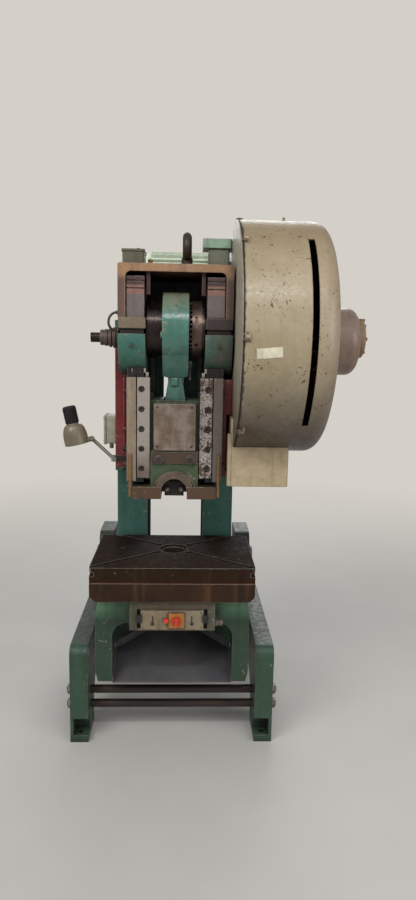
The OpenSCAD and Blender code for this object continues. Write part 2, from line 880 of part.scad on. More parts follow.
// Toothed cheek that holds the stroke setting, with one long slot and a screw in its rim.
module stroke_coupling() {
    x0 = strap_half + 12;
    x1 = bearing_in - 12;
    teeth = 36;
    color(steel) on_ram() difference() {
        union() {
            x_rod(cheek_r, x0, x1, 0, ecc_z);
            x_rod(cheek_r - 12, x1 - 1, bearing_in - 3, 0, ecc_z);
            translate([0, 0, ecc_z]) for (i = [0:teeth - 1])
                rotate([360 / teeth * i, 0, 0]) box(strap_half + 4, x0 + 1, -4, 4, cheek_r - 18, cheek_r - 4);
        }
        x_rod(journal_r, x0 - 10, bearing_in, 0, crank_z);
        translate([0, 0, ecc_z]) {
            rotate([76, 0, 0]) box(x0 + 12, x0 + 21, -21, 21, cheek_r - 9, cheek_r + 5);
            rotate([121, 0, 0]) z_rod(7, cheek_r - 9, cheek_r + 5, x0 + 16, 0);
        }
    }
}

module shaft_collars() {
    color(ochre) on_ram() difference() {
        union() {
            x_rod(30, -collar_x - 62, -bearing_out - 4, 0, crank_z);
            for (i = [0:3])
                x_rod(45 - 4 * i, -bearing_out - 14 - 16 * i, -bearing_out - 4 - 16 * i, 0, crank_z);
        }
        x_rod(stub_r, -stub_x - eps, -bearing_out + eps, 0, crank_z);
    }
}

strap_bush_r = ecc_r + run_gap + 10;
foot_half = 44;
foot_z = ram_top - 20;
waist_z = ecc_z - strap_r - 44;
nut_h = 30;
nut_z = foot_z - nut_h;

// Front view of the lower end: full width at the strap, a waist, then wider into the ram.
module strap_foot() {
    intersection() {
        front_slab([
            [-foot_half, foot_z], [foot_half, foot_z], [26, waist_z], [strap_half, waist_z + 8],
            [strap_half, ecc_z], [-strap_half, ecc_z], [-strap_half, waist_z + 8], [-26, waist_z]
        ], -strap_r, strap_r);
        side_slab([
            [-foot_half, foot_z], [foot_half, foot_z], [foot_half, waist_z],
            [strap_r * 0.8, ecc_z - strap_r * 0.58], [strap_r * 0.5, ecc_z],
            [-strap_r * 0.5, ecc_z], [-strap_r * 0.8, ecc_z - strap_r * 0.58],
            [-foot_half, waist_z]
        ], -strap_half, strap_half);
    }
}

module strap() {
    color(green) on_ram() difference() {
        union() {
            x_rod(strap_r, -strap_half, strap_half, 0, ecc_z, 96);
            strap_foot();
            x_rod(14, -strap_half - 6, 0, -cheek_r - 15, ecc_z - 23);
            box(-16, 8, -foot_half - 7, 0, foot_z + 2 * throw_e + 5, waist_z + 1);
        }
        x_rod(strap_bush_r, -strap_half - eps, strap_half + eps, 0, ecc_z);
        z_rod(screw_r, foot_z - eps, ecc_z - strap_bush_r + eps, 0, 0);
        for (y = [-1, 1])
            z_rod(9, ecc_z + 30, ecc_z + strap_r, 0, y * (strap_bush_r + 18));
    }
}

module strap_liner() {
    color(brass) on_ram() difference() {
        x_rod(strap_bush_r, -strap_half, strap_half, 0, ecc_z);
        x_rod(ecc_r + run_gap, -strap_half - eps, strap_half + eps, 0, ecc_z);
    }
}

module lock_nut() {
    color(dark) on_ram() difference() {
        z_rod(foot_half - 1, nut_z, foot_z, 0, 0, round_n);
        z_rod(screw_r, nut_z - eps, foot_z + eps, 0, 0);
        for (a = [0, 90, 180, 270])
            rotate([0, 0, a]) box(foot_half - 8, foot_half + 5, -6, 6, nut_z - eps, nut_z + nut_h / 2);
    }
}

thread_pitch = 10;

// The screw that sets the shut height: a ball, a hexagon and a threaded shank.
module ball_screw() {
    top = ecc_z - strap_bush_r - screw_travel - 4;
    shank = screw_r - run_gap;
    color(steel) on_ram() difference() {
        union() {
            translate([0, 0, ball_z]) sphere(r = ball_r, $fn = round_n);
            z_rod(shank, ball_z, top, 0, 0);
        }
        for (z = [ball_z + ball_r + 6:thread_pitch:nut_z - 4])
            translate([0, 0, z]) rotate_extrude($fn = fine_n)
                polygon([[shank - 3, 0], [shank + 1, -3], [shank + 1, 3]]);
    }
}

// Ram

plate_z0 = ram_bottom + 190;
plate_z1 = ram_bottom + 369;
neck_x = 80;
notch_c = ram_bottom + 79 - arch_half;

module ram() {
    well_bottom = ball_z - ball_r - 2 * throw_e - screw_travel - 2;
    well_x = max(ball_r, foot_half) + 3;
    well_y = max(ball_r, foot_half) + throw_e + 2;
    color(green) on_ram() difference() {
        union() {
            box(-ear_half, ear_half, -gib_back + slide_gap, ear_back, ram_bottom + 70, ram_top);
            box(-body_half, body_half, -ram_front, 0, ram_bottom + 20, plate_z0 - 4);
            box(-neck_x, neck_x, -ram_front, 0, plate_z0 - 5, ram_top - 8);
            plan_slab(rounded(-ram_flange_w / 2, ram_flange_w / 2, -ram_front - 18, ear_back + 26, 10),
                ram_bottom, ram_bottom + ram_flange_t);
            front_slab(concat(
                [[-arch_half - 31, ram_bottom + 20], [arch_half + 31, ram_bottom + 20]],
                arc(0, ram_bottom + 22, arch_half + 31, 40, 140, 16)
            ), -ram_front - 14, -ram_front + 1);
        }
        box(-well_x, well_x, -well_y, well_y, well_bottom, ram_top + eps);
        front_slab(concat(
            [[-arch_half, ram_bottom - eps], [arch_half, ram_bottom - eps]],
            arc(0, notch_c, arch_half, 0, 180, 20)
        ), -ram_front - 19, 0);
        z_rod(shank_r, ram_bottom - eps, ram_bottom + shank_depth, 0, 0);
        for (s = [-1, 1])
            y_rod(6, -1, 17, s * (clamp_half - 10), ram_bottom + 30);
        for (s = [-1, 1])
            for (y = [-60, 60])
                z_rod(9, ram_bottom - eps, ram_bottom + ram_flange_t + eps, s * 135, y);
    }
}

module ram_front_plate() {
    color(steel) on_ram() difference() {
        front_slab(rounded(-neck_x, neck_x, plate_z0, plate_z1, 3), -ram_front - 8, -ram_front);
        for (s = [-1, 1])
            for (z = [plate_z0 + 14, plate_z1 - 14])
                y_rod(5, -ram_front - 9, -ram_front - 3, s * (neck_x - 14), z);
    }
}

module ram_bolts() {
    z = plate_z0 - 32;
    color(steel) on_ram() {
        front_slab(rounded(-body_half + 4, body_half - 4, z - 20, z + 26, 3), -ram_front - 5, -ram_front);
        for (s = [-1, 1]) {
            y_rod(17, -ram_front - 8, -ram_front - 4, s * 60, z - 4);
            hex_along_y(26, -ram_front - 20, -ram_front - 7, s * 60, z - 4);
        }
    }
}

clamp_half = arch_half - 12;
clamp_z1 = ram_bottom + 58;

module shank_clamp() {
    color(dark) on_ram() difference() {
        box(-clamp_half, clamp_half, -76, -1.5, ram_bottom + 2, clamp_z1);
        z_rod(shank_r, ram_bottom - eps, clamp_z1 + eps, 0, 0);
        for (s = [-1, 1])
            y_rod(6, -77, 0, s * (clamp_half - 10), ram_bottom + 30);
    }
}

module shank_clamp_nuts() {
    color(steel) on_ram() for (s = [-1, 1])
        translate([s * (clamp_half - 10), 0, ram_bottom + 30]) {
            y_rod(6, -100, 16, 0, 0);
            hex_along_y(18, -88, -76, 0, 0);
        }
}

// Drive

belt_x = wheel_x0 + (wheel_w - belt_pitch * (belts - 1)) / 2;
groove_d = 9;

// Half section of a grooved rim from x0 to x1 at radius r.
function groove_points(x0, x1, r) = concat(
    [[x0, 0], [x1, 0], [x1, r]],
    [for (i = [belts - 1:-1:0], p = [[6, 0], [4, -groove_d], [-4, -groove_d], [-6, 0]])
        [belt_x + i * belt_pitch + p[0], r + p[1]]],
    [[x0, r]]
);

// Turns [x, radius] points about an axis along X.
module x_turned(points, y, z, n = round_n) {
    translate([0, y, z]) rotate([0, 90, 0]) rotate_extrude($fn = n)
        polygon([for (p = points) [p[1], p[0]]]);
}

module flywheel() {
    hub = 105;
    rim = wheel_r - 60;
    web0 = wheel_x0 + 40;
    web1 = wheel_x0 + 66;
    color(iron) on_ram() difference() {
        x_turned(groove_points(wheel_x0, wheel_x1, wheel_r), 0, crank_z, 96);
        x_turned([[wheel_x0 - 1, hub], [web0, hub], [web0, rim], [wheel_x0 - 1, rim]], 0, crank_z);
        x_turned([[web1, hub], [wheel_x1 + 1, hub], [wheel_x1 + 1, rim], [web1, rim]], 0, crank_z);
        x_rod(journal_r - 6 + run_gap, wheel_x0 - 1, wheel_x1 + 1, 0, crank_z);
        for (a = [0:60:300])
            x_rod(52, web0 - 1, web1 + 1, (hub + rim) / 2 * cos(a), crank_z + (hub + rim) / 2 * sin(a));
    }
}

motor_x0 = -150;
motor_x1 = 170;

module motor_bracket() {
    z = motor_z - motor_r - 12;
    color(green) on_ram() {
        box(motor_x0 + 40, motor_x1 - 20, crown_back + 20, motor_y + 130, z - 16, z);
        box(motor_x0 + 40, motor_x1 - 20, back_top_y, back_top_y + 18, deck_z - 160, z - 15);
        for (x = [motor_x0 + 40, motor_x1 - 36])
            side_slab([
                [back_top_y + 17, deck_z - 140], [motor_y + 120, z - 15], [back_top_y + 17, z - 15]
            ], x, x + 16);
    }
}

module motor_body() {
    fins = 20;
    color(grey_green) on_ram() {
        x_rod(motor_r - 12, motor_x0, motor_x1, motor_y, motor_z);
        for (i = [0:fins - 1])
            translate([0, motor_y, motor_z]) rotate([360 / fins * i, 0, 0])
                box(motor_x0 + 30, motor_x1 - 24, -2, 2, motor_r - 16, motor_r);
        for (s = [-1, 1])
            box(motor_x0 + 60, motor_x1 - 40, motor_y + s * 80 - 22, motor_y + s * 80 + 22,
                motor_z - motor_r - 12, motor_z - 50);
    }
}

module motor_end_bell() {
    color(grey_green) on_ram() {
        x_turned(concat(
            [[motor_x1, 0]], [[motor_x1 + 26, 0], [motor_x1 + 26, 50], [motor_x1 + 12, motor_r - 22]],
            [[motor_x1, motor_r - 10]]
        ), motor_y, motor_z);
        x_turned(concat(
            [[motor_x0, 0]], [[motor_x0, motor_r - 6]], arc(motor_x0 - 44, motor_r - 20, 14, 90, 180, 5),
            [[motor_x0 - 58, 0]]
        ), motor_y, motor_z);
    }
}

module terminal_box() {
    color(grey_green) on_ram() {
        x1 = guard_x0 - 10;
        plan_slab(rounded(x1 - 84, x1, 130, 240, 6), crown_top, crown_top + 96);
        plan_slab(rounded(x1 - 108, x1 + 8, 120, 250, 6), crown_top + 95, crown_top + 132);
        x_rod(12, x1 - 1, guard_x0 - 2, 185, crown_top + 40, fine_n);
    }
}

module motor_pulley() {
    color(steel) on_ram() {
        x_turned(groove_points(wheel_x0 + 10, wheel_x1 - 10, pulley_r), motor_y, motor_z);
        x_rod(19, motor_x1 + 26 + seat_gap, wheel_x0 + 11, motor_y, motor_z, fine_n);
    }
}

module drive_belts() {
    c1 = [0, crank_z];
    c2 = [motor_y, motor_z];
    color(dark) on_ram() for (i = [0:belts - 1]) {
        x = belt_x + i * belt_pitch;
        difference() {
            side_slab(belt_loop(c1, wheel_r + 4, c2, pulley_r + 4), x - 4, x + 4);
            side_slab(belt_loop(c1, wheel_r - groove_d + 3, c2, pulley_r - groove_d + 3), x - 5, x + 5);
        }
    }
}

// Guard

lip_w = 5;
seam_x = guard_x0 + lip_w;
slot_x0 = guard_x1 - 103;
slot_x1 = guard_x1 - 81;
slot_top = 50;
slot_bottom = 44;
slot_lean = 0.2;
cover_r = pulley_r + 38;
cap_z = crank_z + 12;
cover_x1 = wheel_x1 + 24;

// Room in the guard for the side plate of the frame, which stands in its left face.
module guard_notch() {
    side_slab(plate_points(-1), guard_x0 - 1, plate_out + seat_gap);
}

// Half section of a drum, open to the left, with a rounded right edge, as [x, radius] points.
function drum_points(t) = concat(
    [[seam_x - (t > 0 ? eps : 0), 0], [seam_x - (t > 0 ? eps : 0), guard_r - t]],
    arc(guard_x1 - guard_edge_r, guard_r - guard_edge_r, guard_edge_r - t, 90, 0, 8),
    [[guard_x1 - t, 0]]
);

// Clips round the left rim of the drum and a screw on its top.
module guard_clips() {
    for (a = [-48, 0, 48])
        translate([0, 0, guard_z]) rotate([a, 0, 0])
            box(seam_x, seam_x + 16, -guard_r - 5, -guard_r + 3, -14, 14);
    z_rod(5, guard_z + guard_r - 6, guard_z + guard_r + 12, (seam_x + guard_x1) / 2 + 11, -40);
}

module guard_drum() {
    color(beige) on_ram() difference() {
        union() {
            x_turned(drum_points(0), 0, guard_z, 96);
            guard_clips();
        }
        x_turned(drum_points(guard_t), 0, guard_z, 96);
        translate([0, 0, guard_z]) rotate([0, 90 + slot_lean, 0]) rotate([0, 0, 270 - slot_top])
            rotate_extrude(angle = slot_top + slot_bottom, $fn = 96) translate([guard_r - 30, slot_x0])
                square([60, slot_x1 - slot_x0]);
        x_rod(hub_r - 12, guard_x1 - 10, guard_x1 + 10, 0, crank_z);
        side_slab(belt_loop([0, crank_z], guard_r - 42, [motor_y, motor_z], cover_r - guard_t),
            guard_x0 + guard_t, cover_x1 - guard_t);
        guard_notch();
    }
}

// The shell round the belts, open to the drum.
module belt_cover() {
    difference() {
        side_slab(belt_loop([0, crank_z], guard_r - 42, [motor_y, motor_z], cover_r), guard_x0, cover_x1);
        side_slab(belt_loop([0, crank_z], guard_r - 42, [motor_y, motor_z], cover_r - guard_t),
            guard_x0 + guard_t, cover_x1 - guard_t);
        x_rod(guard_r, guard_x0 - 1, cover_x1 + 1, 0, guard_z, 96);
        x_rod(60, guard_x0 - 1, guard_x0 + 6, motor_y, motor_z);
        guard_notch();
    }
}

module guard_back_plate() {
    color(grey_green) on_ram() belt_cover();
    color(grey_green) on_ram() difference() {
        union() {
            x_turned([
                [guard_x0, 0], [guard_x0, guard_r - 4], [guard_x0 + 2, guard_r - 1],
                [seam_x - seat_gap, guard_r - 1], [seam_x - seat_gap, guard_r - guard_t - seat_gap],
                [seam_x + 14, guard_r - guard_t - seat_gap], [seam_x + 14, guard_r - 2 * guard_t],
                [guard_x0 + guard_t, guard_r - 2 * guard_t], [guard_x0 + guard_t, 0]
            ], 0, guard_z, 96);
        }
        x_rod(journal_r + 10, guard_x0 - 1, guard_x0 + guard_t + 1, 0, crank_z);
        guard_notch();
    }
}

module guard_lower_box() {
    x0 = guard_x0 - 8;
    x1 = (guard_x0 + guard_x1) / 2 + 47;
    y0 = -170;
    y1 = 120;
    z0 = guard_z - guard_r - 120;
    color(beige) on_ram() difference() {
        union() {
            plan_slab(rounded(x0, x1, y0, y1, 12), z0, guard_z - 300);
            box(x0 - 12, x0 + 2, y0 + 4, y0 + 34, z0, guard_z - 360);
        }
        x_rod(guard_r + 0.2, guard_x0 - seat_gap, x1 + 10, 0, guard_z, 96);
    }
}

module hub_cover() {
    color(beige) on_ram() difference() {
        x_turned(concat(
            [[guard_x1, 0], [guard_x1, hub_r], [hub_x - 40, hub_r]],
            arc(hub_x - 40, hub_r - 40, 40, 90, 0, 6),
            [[hub_x, 0]]
        ), 0, crank_z);
        x_turned([[guard_x1 - 1, 0], [guard_x1 - 1, hub_r - guard_t], [hub_x - 46, hub_r - guard_t],
            [hub_x - guard_t, hub_r - 46], [hub_x - guard_t, 0]], 0, crank_z);
        x_rod(cap_r - 24, hub_x - 10, hub_x + 10, 0, crank_z);
    }
}

module hub_end_cap() {
    color(ochre) on_ram() {
        x_turned(concat(
            [[hub_x, 0], [hub_x, cap_r]],
            arc(hub_x + 22, cap_r - 5, 5, 90, 0, 5),
            [[hub_x + 27, 0]]
        ), 0, cap_z);
        for (a = [0:60:300])
            hex_along_x(13, hub_x + 26, hub_x + 34, (cap_r - 16) * cos(a), cap_z + (cap_r - 16) * sin(a));
        box(hub_x + 2, hub_x + 34, -14, 14, cap_z + cap_r - 8, cap_z + cap_r + 5);
    }
}

// Controls

panel_z1 = block_bottom - 36;
panel_z0 = panel_z1 - panel_h;
box_front = table_front - 12;
box_half = 164;
knob_x = 16;
plate_half = 29;
stop_x = knob_x - plate_half - 10.5;
stop_z = panel_z0 + panel_h / 2 + 2;
stop_shaft_r = 6;
stop_travel = 3;

module control_box() {
    color(beige) on_ram() difference() {
        box(-box_half, box_half, -box_front, -leg_front, panel_z0 - 6, block_bottom);
        both_sides()
            box(panel_w / 2 + 1, panel_w / 2 + 15, -box_front - 1, -box_front + 20, panel_z0 + 2, panel_z1 + 4);
        y_rod(stop_shaft_r + run_gap, -box_front - 1, -box_front + 6, stop_x, stop_z);
    }
}

module control_panel() {
    color(steel) on_ram() difference() {
        front_slab(rounded(-panel_w / 2, panel_w / 2, panel_z0, panel_z1, 3), -box_front - 6, -box_front);
        y_rod(stop_shaft_r + run_gap, -box_front - 7, -box_front + 1, stop_x, stop_z);
    }
}

module panel_fittings() {
    z = panel_z0 + panel_h * 0.6;
    color(dark) on_ram() both_sides() {
        box(panel_w / 2 - 4, panel_w / 2 + 14, -box_front - 12, -box_front - 6, z - 14, z + 14);
        y_rod(5.5, -box_front - 9, -box_front - 6, 75, panel_z0 + 24);
        box(73.6, 76.4, -box_front - 8, -box_front - 6, panel_z0 + 28, panel_z0 + 56);
    }
}

module selector_plate() {
    z = panel_z0 + panel_h / 2;
    color(yellow) on_ram() difference() {
        front_slab(rounded(knob_x - plate_half, knob_x + plate_half, z - plate_half, z + plate_half, 2),
            -box_front - 12, -box_front - 6);
        y_rod(6 + run_gap, -box_front - 13, -box_front - 5, knob_x, z);
    }
}

module selector_knob() {
    z = panel_z0 + panel_h / 2;
    color(red) on_ram() {
        y_rod(6, -box_front - 13, -box_front - 7, knob_x, z);
        y_rod(knob_r, -box_front - 20, -box_front - 12 - seat_gap, knob_x, z);
        box(knob_x - 6, knob_x + 6, -box_front - 30, -box_front - 19, z - knob_r + 2, z + knob_r - 2);
    }
}

module stop_button() {
    color(red) on_ram() {
        y_rod(stop_shaft_r, -box_front - 12, -box_front + 6 - stop_travel - 1, stop_x, stop_z);
        y_rod(9.5, -box_front - 20, -box_front - 6 - stop_travel - 1, stop_x, stop_z);
    }
}

module switch_box() {
    x0 = -plate_out - 42;
    z0 = gib_z0 + 90;
    color(grey_green) on_ram() {
        side_slab(rounded(head_y + 10, head_y + 130, z0, z0 + 118, 8), x0, -plate_out);
        side_slab(rounded(head_y + 7, head_y + 133, z0 - 3, z0 + 121, 8), x0 - 8, x0 + 1);
        z_rod(9, z0 - 24, z0 + 1, x0 + 20, head_y + 50);
    }
}

// Work lamp

lamp_y = -40;
lamp_z = gib_z0 + 60;
lamp_x = -guide_out - 56;
arm_tilt = 43;
head_lean = 12;
arm_r = 7;
joint_r = 10;
head_x = lamp_x - arm_l * cos(arm_tilt);
head_z = lamp_z + arm_l * sin(arm_tilt);

module lamp_bracket() {
    color(dark) on_ram() {
        box(-guide_out - 8, -guide_out, lamp_y - 4, lamp_y + 44, lamp_z - 26, lamp_z + 26);
        box(lamp_x - 12, -guide_out - 7, lamp_y + 10, lamp_y + 22, lamp_z - 12, lamp_z + 12);
        y_rod(joint_r, lamp_y + 8 + seat_gap, lamp_y + 22, lamp_x, lamp_z);
    }
}

module lamp_arm() {
    color(steel) on_ram() {
        y_rod(joint_r, lamp_y - 8, lamp_y + 8, lamp_x, lamp_z);
        translate([lamp_x, lamp_y, lamp_z]) rotate([0, -90 + arm_tilt, 0])
            cylinder(r = arm_r, h = arm_l, $fn = fine_n);
        y_rod(joint_r, lamp_y - 8, lamp_y + 8, head_x, head_z);
    }
}

// Socket and domed shade in one leaning turned shell, held by an ear beside its rim.
module lamp_head() {
    rim_z = -10;
    dome_z = 12;
    dome_h = 58;
    wall = 3;
    neck = 24;
    dome = function (w) [for (a = [0:10:80])
        [neck + (shade_r - neck) * cos(a) - w, dome_z + (dome_h - w) * sin(a)]];
    offset = shade_r + joint_r + 2;
    color(dark) on_ram() translate([head_x, lamp_y, head_z]) rotate([0, -head_lean, 0]) {
        translate([-offset, -8 - seat_gap, 0]) {
            rotate_extrude($fn = round_n) polygon(concat(
                [[shade_r, rim_z]], dome(0),
                [[neck, dome_z + dome_h + 2], [neck, dome_z + dome_h + 60], [neck - 6, dome_z + dome_h + 68],
                    [0, dome_z + dome_h + 68], [0, dome_z + dome_h - wall - 2]],
                [for (p = [8:-1:0]) dome(wall)[p]],
                [[shade_r - wall, rim_z]]
            ));
            box(shade_r - wall + 1, offset, -9, 0, -joint_r, joint_r);
        }
        y_rod(joint_r, -17 - seat_gap, -8 - seat_gap, 0, 0);
        y_rod(4, -28, -16, 0, 0);
        box(-14, 14, -27, -23, -4, 4);
    }
}

base_leg_left();
base_leg_right();
tie_bars();
tie_bar_nuts();
trunnion_pins();
main_frame();
clamp_bolts();
table_block();
bolster_plate();
scrap_chute();
bearing_bushes();
bearing_cap_left();
bearing_cap_right();
cap_shims();
cap_nuts();
guide_liners();
gib_plate_left();
gib_plate_right();
gib_screw_set();
guide_side_bars();
wear_strips();
gib_adjusters();
crown_hood();
lubricator();
lifting_eye();
oil_pipe();
crankshaft();
stroke_coupling();
shaft_collars();
strap();
strap_liner();
lock_nut();
ball_screw();
ram();
ram_front_plate();
ram_bolts();
shank_clamp();
shank_clamp_nuts();
flywheel();
motor_bracket();
motor_body();
motor_end_bell();
terminal_box();
motor_pulley();
drive_belts();
guard_drum();
guard_back_plate();
guard_lower_box();
hub_cover();
hub_end_cap();
control_box();
control_panel();
panel_fittings();
selector_plate();
selector_knob();
stop_button();
switch_box();
lamp_bracket();
lamp_arm();
lamp_head();
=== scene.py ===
"""Looks of an open-front eccentric stamping press: worn paint, rust, oil and small fittings."""

import math

import bpy
from bpy.props import FloatProperty, FloatVectorProperty, PointerProperty
from mathutils import Matrix, Vector


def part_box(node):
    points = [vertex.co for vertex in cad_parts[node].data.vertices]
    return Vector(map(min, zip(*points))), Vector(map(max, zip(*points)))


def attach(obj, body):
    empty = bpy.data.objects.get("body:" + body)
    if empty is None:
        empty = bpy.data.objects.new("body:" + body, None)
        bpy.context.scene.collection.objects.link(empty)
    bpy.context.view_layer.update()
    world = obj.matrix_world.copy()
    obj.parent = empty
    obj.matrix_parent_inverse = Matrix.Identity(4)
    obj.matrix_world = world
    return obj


bl_info = {
    "name": "Stamping Press Looks",
    "version": (1, 0, 0),
    "blender": (4, 5, 0),
    "location": "View3D > Sidebar > Stamping Press",
    "description": "Finishes and small fittings for an open-front eccentric stamping press",
    "category": "Object",
}

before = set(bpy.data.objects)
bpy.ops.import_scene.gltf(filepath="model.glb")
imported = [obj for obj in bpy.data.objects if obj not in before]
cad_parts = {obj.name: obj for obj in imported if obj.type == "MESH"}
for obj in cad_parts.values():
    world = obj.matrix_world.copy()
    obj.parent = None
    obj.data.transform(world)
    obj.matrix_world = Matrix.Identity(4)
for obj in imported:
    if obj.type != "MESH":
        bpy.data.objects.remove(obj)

# The guard's drum: its left end, its axis along X and its radius
GUARD_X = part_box("guard_drum")[0][0]
GUARD_Y = -0.33
GUARD_Z = 1.662
GUARD_R = 0.44
# Height above the drum at which the strip and the patch lie
GUARD_GAP = 0.0002
# Distance of the strap's plugs from its middle
PLUG_Y = 0.12405
# How deep a fitting sits in the face that carries it
SINK = 0.0003
# Colour of the wall, and the distances over which the floor fades into it
WALL = (0.66, 0.63, 0.58, 1)
HAZE = (1.2, 5.5)
# A limit that no point of the press reaches
FAR = 99.0
# The camera: its place, its turn in degrees, its focal length and the picture's height in pixels
CAMERA = (0.0367, -2.868, 1.625)
YAW, DIP, ROLL = -2.2, 9.18, 1.09
FOCAL, PICTURE = 635.1, 900


def colour(name, description, value):
    """A colour setting with its default."""
    return FloatVectorProperty(
        name=name, description=description, subtype="COLOR", size=3, min=0, max=1, default=value
    )


def size_of(name, description, value):
    """A size setting in metres with its default."""
    return FloatProperty(
        name=name, description=description, default=value, min=0.0001, max=1, unit="LENGTH",
        precision=4
    )


class PressPaints(bpy.types.PropertyGroup):
    """Colours of the paints and bare metals."""

    teal: colour("Teal", "Green of the strap, housings and uprights", (0.042, 0.148, 0.112))
    leg_green: colour("Leg green", "Yellower green of the legs and feet", (0.027, 0.074, 0.04))
    cheek_red: colour("Cheek red", "Red of the upper side cheeks", (0.215, 0.011, 0.01))
    ochre: colour("Ochre", "Ochre primer of the crown", (0.33, 0.18, 0.085))
    inside_red: colour("Inside red", "Dark red inside the crown", (0.05, 0.01, 0.01))
    guard: colour("Guard beige", "Beige of the flywheel guard", (0.33, 0.264, 0.16))
    hub: colour("Hub tan", "Pink tan of the hub cover", (0.24, 0.16, 0.12))
    motor: colour("Motor green", "Pale grey-green of the motor", (0.66, 0.76, 0.59))
    bar: colour("Bar beige", "Beige of the bars beside the guides", (0.29, 0.215, 0.145))
    brass: colour("Brass", "Yellow of the wear strips", (0.23, 0.105, 0.022))
    panel: colour("Panel", "Dirty beige of the control box", (0.24, 0.19, 0.11))
    plate: colour("Selector plate", "Orange-yellow of the selector plate", (0.43, 0.165, 0.022))
    knob: colour("Knob red", "Red of the handle and the push button", (0.62, 0.05, 0.02))
    shade: colour("Shade", "Beige green of the lamp shade", (0.18, 0.145, 0.092))


class PressSizes(bpy.types.PropertyGroup):
    """Sizes of the small fittings."""

    patch_width: size_of("Patch width", "Width of the blank paper patch on the guard", 0.088)
    patch_height: size_of("Patch height", "Height of the blank paper patch", 0.036)
    seam: size_of("Seam width", "Width of the rubber strip on the guard's rim", 0.0032)
    oil_line: size_of("Oil line", "Radius of the oil line beside the collars", 0.0048)
    rib: size_of("Sleeve rib", "Pitch of the ribs on the lamp's sleeve", 0.0062)
    screw: size_of("Cover screw", "Head radius of the cover screws", 0.0042)


class PressWear(bpy.types.PropertyGroup):
    """How worn, rusty and dirty the press is, and how much painted shade darkens its corners."""

    steel: colour("Bare steel", "Bright steel under worn paint", (0.36, 0.325, 0.285))
    rust: colour("Rust", "Rust on bare iron", (0.115, 0.052, 0.025))
    # Colour of oily soiling, also used for the painted shade in corners
    grime_and_shade: colour("Grime", "Oily dirt in corners", (0.016, 0.011, 0.008))
    edge: FloatProperty(
        name="Edge wear", description="Share of the edges worn bright", default=0.55, min=0, max=1
    )
    edge_radius: FloatProperty(
        name="Edge radius", description="How far wear reaches from an edge",
        default=0.004, min=0.001, max=0.02, subtype="DISTANCE", unit="LENGTH",
    )
    # Amount of oily soiling and painted shade in corners
    dirt_and_shade: FloatProperty(
        name="Dirt", description="Amount of oily dirt in corners", default=0.7, min=0, max=1
    )


# Shader building


class Net:
    """Adds nodes to a tree. Each value is a number, a colour, or an output to link from."""

    def __init__(self, tree):
        self.tree = tree

    def add(self, kind, values=None, **settings):
        """Add a shader node."""
        made = self.tree.nodes.new("ShaderNode" + kind)
        for key, value in settings.items():
            setattr(made, key, value)
        for key, value in (values or {}).items():
            if isinstance(value, bpy.types.NodeSocket):
                self.tree.links.new(value, made.inputs[key])
            else:
                made.inputs[key].default_value = value
        return made

    def calc(self, operation, a, b=0.0, c=0.0, clamp=False):
        """Output of a Math node."""
        values = {0: a, 1: b, 2: c}
        return self.add("Math", values, operation=operation, use_clamp=clamp).outputs[0]

    def times(self, a, b):
        """Product of two values."""
        return self.calc("MULTIPLY", a, b)

    def plus(self, a, b):
        """Sum of two values."""
        return self.calc("ADD", a, b)

    def minus(self, a, b):
        """Difference of two values."""
        return self.calc("SUBTRACT", a, b)

    def scaled(self, value, factor, offset, clamp=False):
        """A value times a factor, plus an offset."""
        return self.calc("MULTIPLY_ADD", value, factor, offset, clamp)

    def mix(self, factor, a, b):
        """Output of a colour mix from a to b."""
        a, b = (value if isinstance(value, bpy.types.NodeSocket) else (*value[:3], 1)
                for value in (a, b))
        values = {0: factor, 6: a, 7: b}
        return self.add("Mix", values, data_type="RGBA", clamp_factor=True).outputs[2]

    def paler(self, tint):
        """A colour as sun and oil bleach it."""
        values = {"Color": tint, "Saturation": 0.78, "Value": 1.22}
        return self.add("HueSaturation", values).outputs[0]

    def noise(self, place, scale, detail, roughness=0.55, stretch=None, distortion=0.0):
        """Output of a noise, optionally stretched along the axes."""
        if stretch:
            place = self.add("Mapping", {"Vector": place, "Scale": stretch}).outputs[0]
        values = {"Vector": place, "Scale": scale, "Detail": detail, "Roughness": roughness,
                  "Distortion": distortion}
        return self.add("TexNoise", values).outputs[0]

    def steps(self, value, low, high):
        """Smooth step of a value from low to high."""
        values = {"Value": value, "From Min": low, "From Max": high}
        return self.add("MapRange", values, interpolation_type="SMOOTHSTEP").outputs[0]


class Group(Net):
    """A node group with the input Place, other inputs with defaults, and named outputs."""

    def __init__(self, name, inputs, outputs):
        super().__init__(bpy.data.node_groups.new(name, "ShaderNodeTree"))
        socket = self.tree.interface.new_socket
        socket("Place", in_out="INPUT", socket_type="NodeSocketVector")
        for label, value in inputs.items():
            socket(label, in_out="INPUT", socket_type="NodeSocketFloat").default_value = value
        for label in outputs:
            kind = "NodeSocketVector" if label == "Normal" else "NodeSocketFloat"
            socket(label, in_out="OUTPUT", socket_type=kind)
        self.given = self.tree.nodes.new("NodeGroupInput").outputs
        self.out = self.tree.nodes.new("NodeGroupOutput").inputs

    def give(self, name, value):
        """Wire a value to an output of the group."""
        self.tree.links.new(value, self.out[name])


def worn_edges(name):
    """Ragged mask of worn edges, and the rounded normal of those edges."""
    g = Group(name, {"Radius": 0.004, "Amount": 0.5}, ["Mask", "Normal"])
    bevel = g.add("Bevel", {"Radius": g.given["Radius"]}, samples=4).outputs[0]
    facing = g.add("NewGeometry").outputs["Normal"]
    dot = g.add("VectorMath", {0: bevel, 1: facing}, operation="DOT_PRODUCT")
    bent = g.minus(1.0, dot.outputs["Value"])
    ragged = g.noise(g.given["Place"], 38, 5, 0.7)
    reach = g.minus(ragged, g.times(g.given["Amount"], 0.5))
    mask = g.minus(g.times(bent, 5.0), reach)
    g.give("Mask", g.calc("MULTIPLY", mask, 4.0, clamp=True))
    g.give("Normal", bevel)
    return g.tree


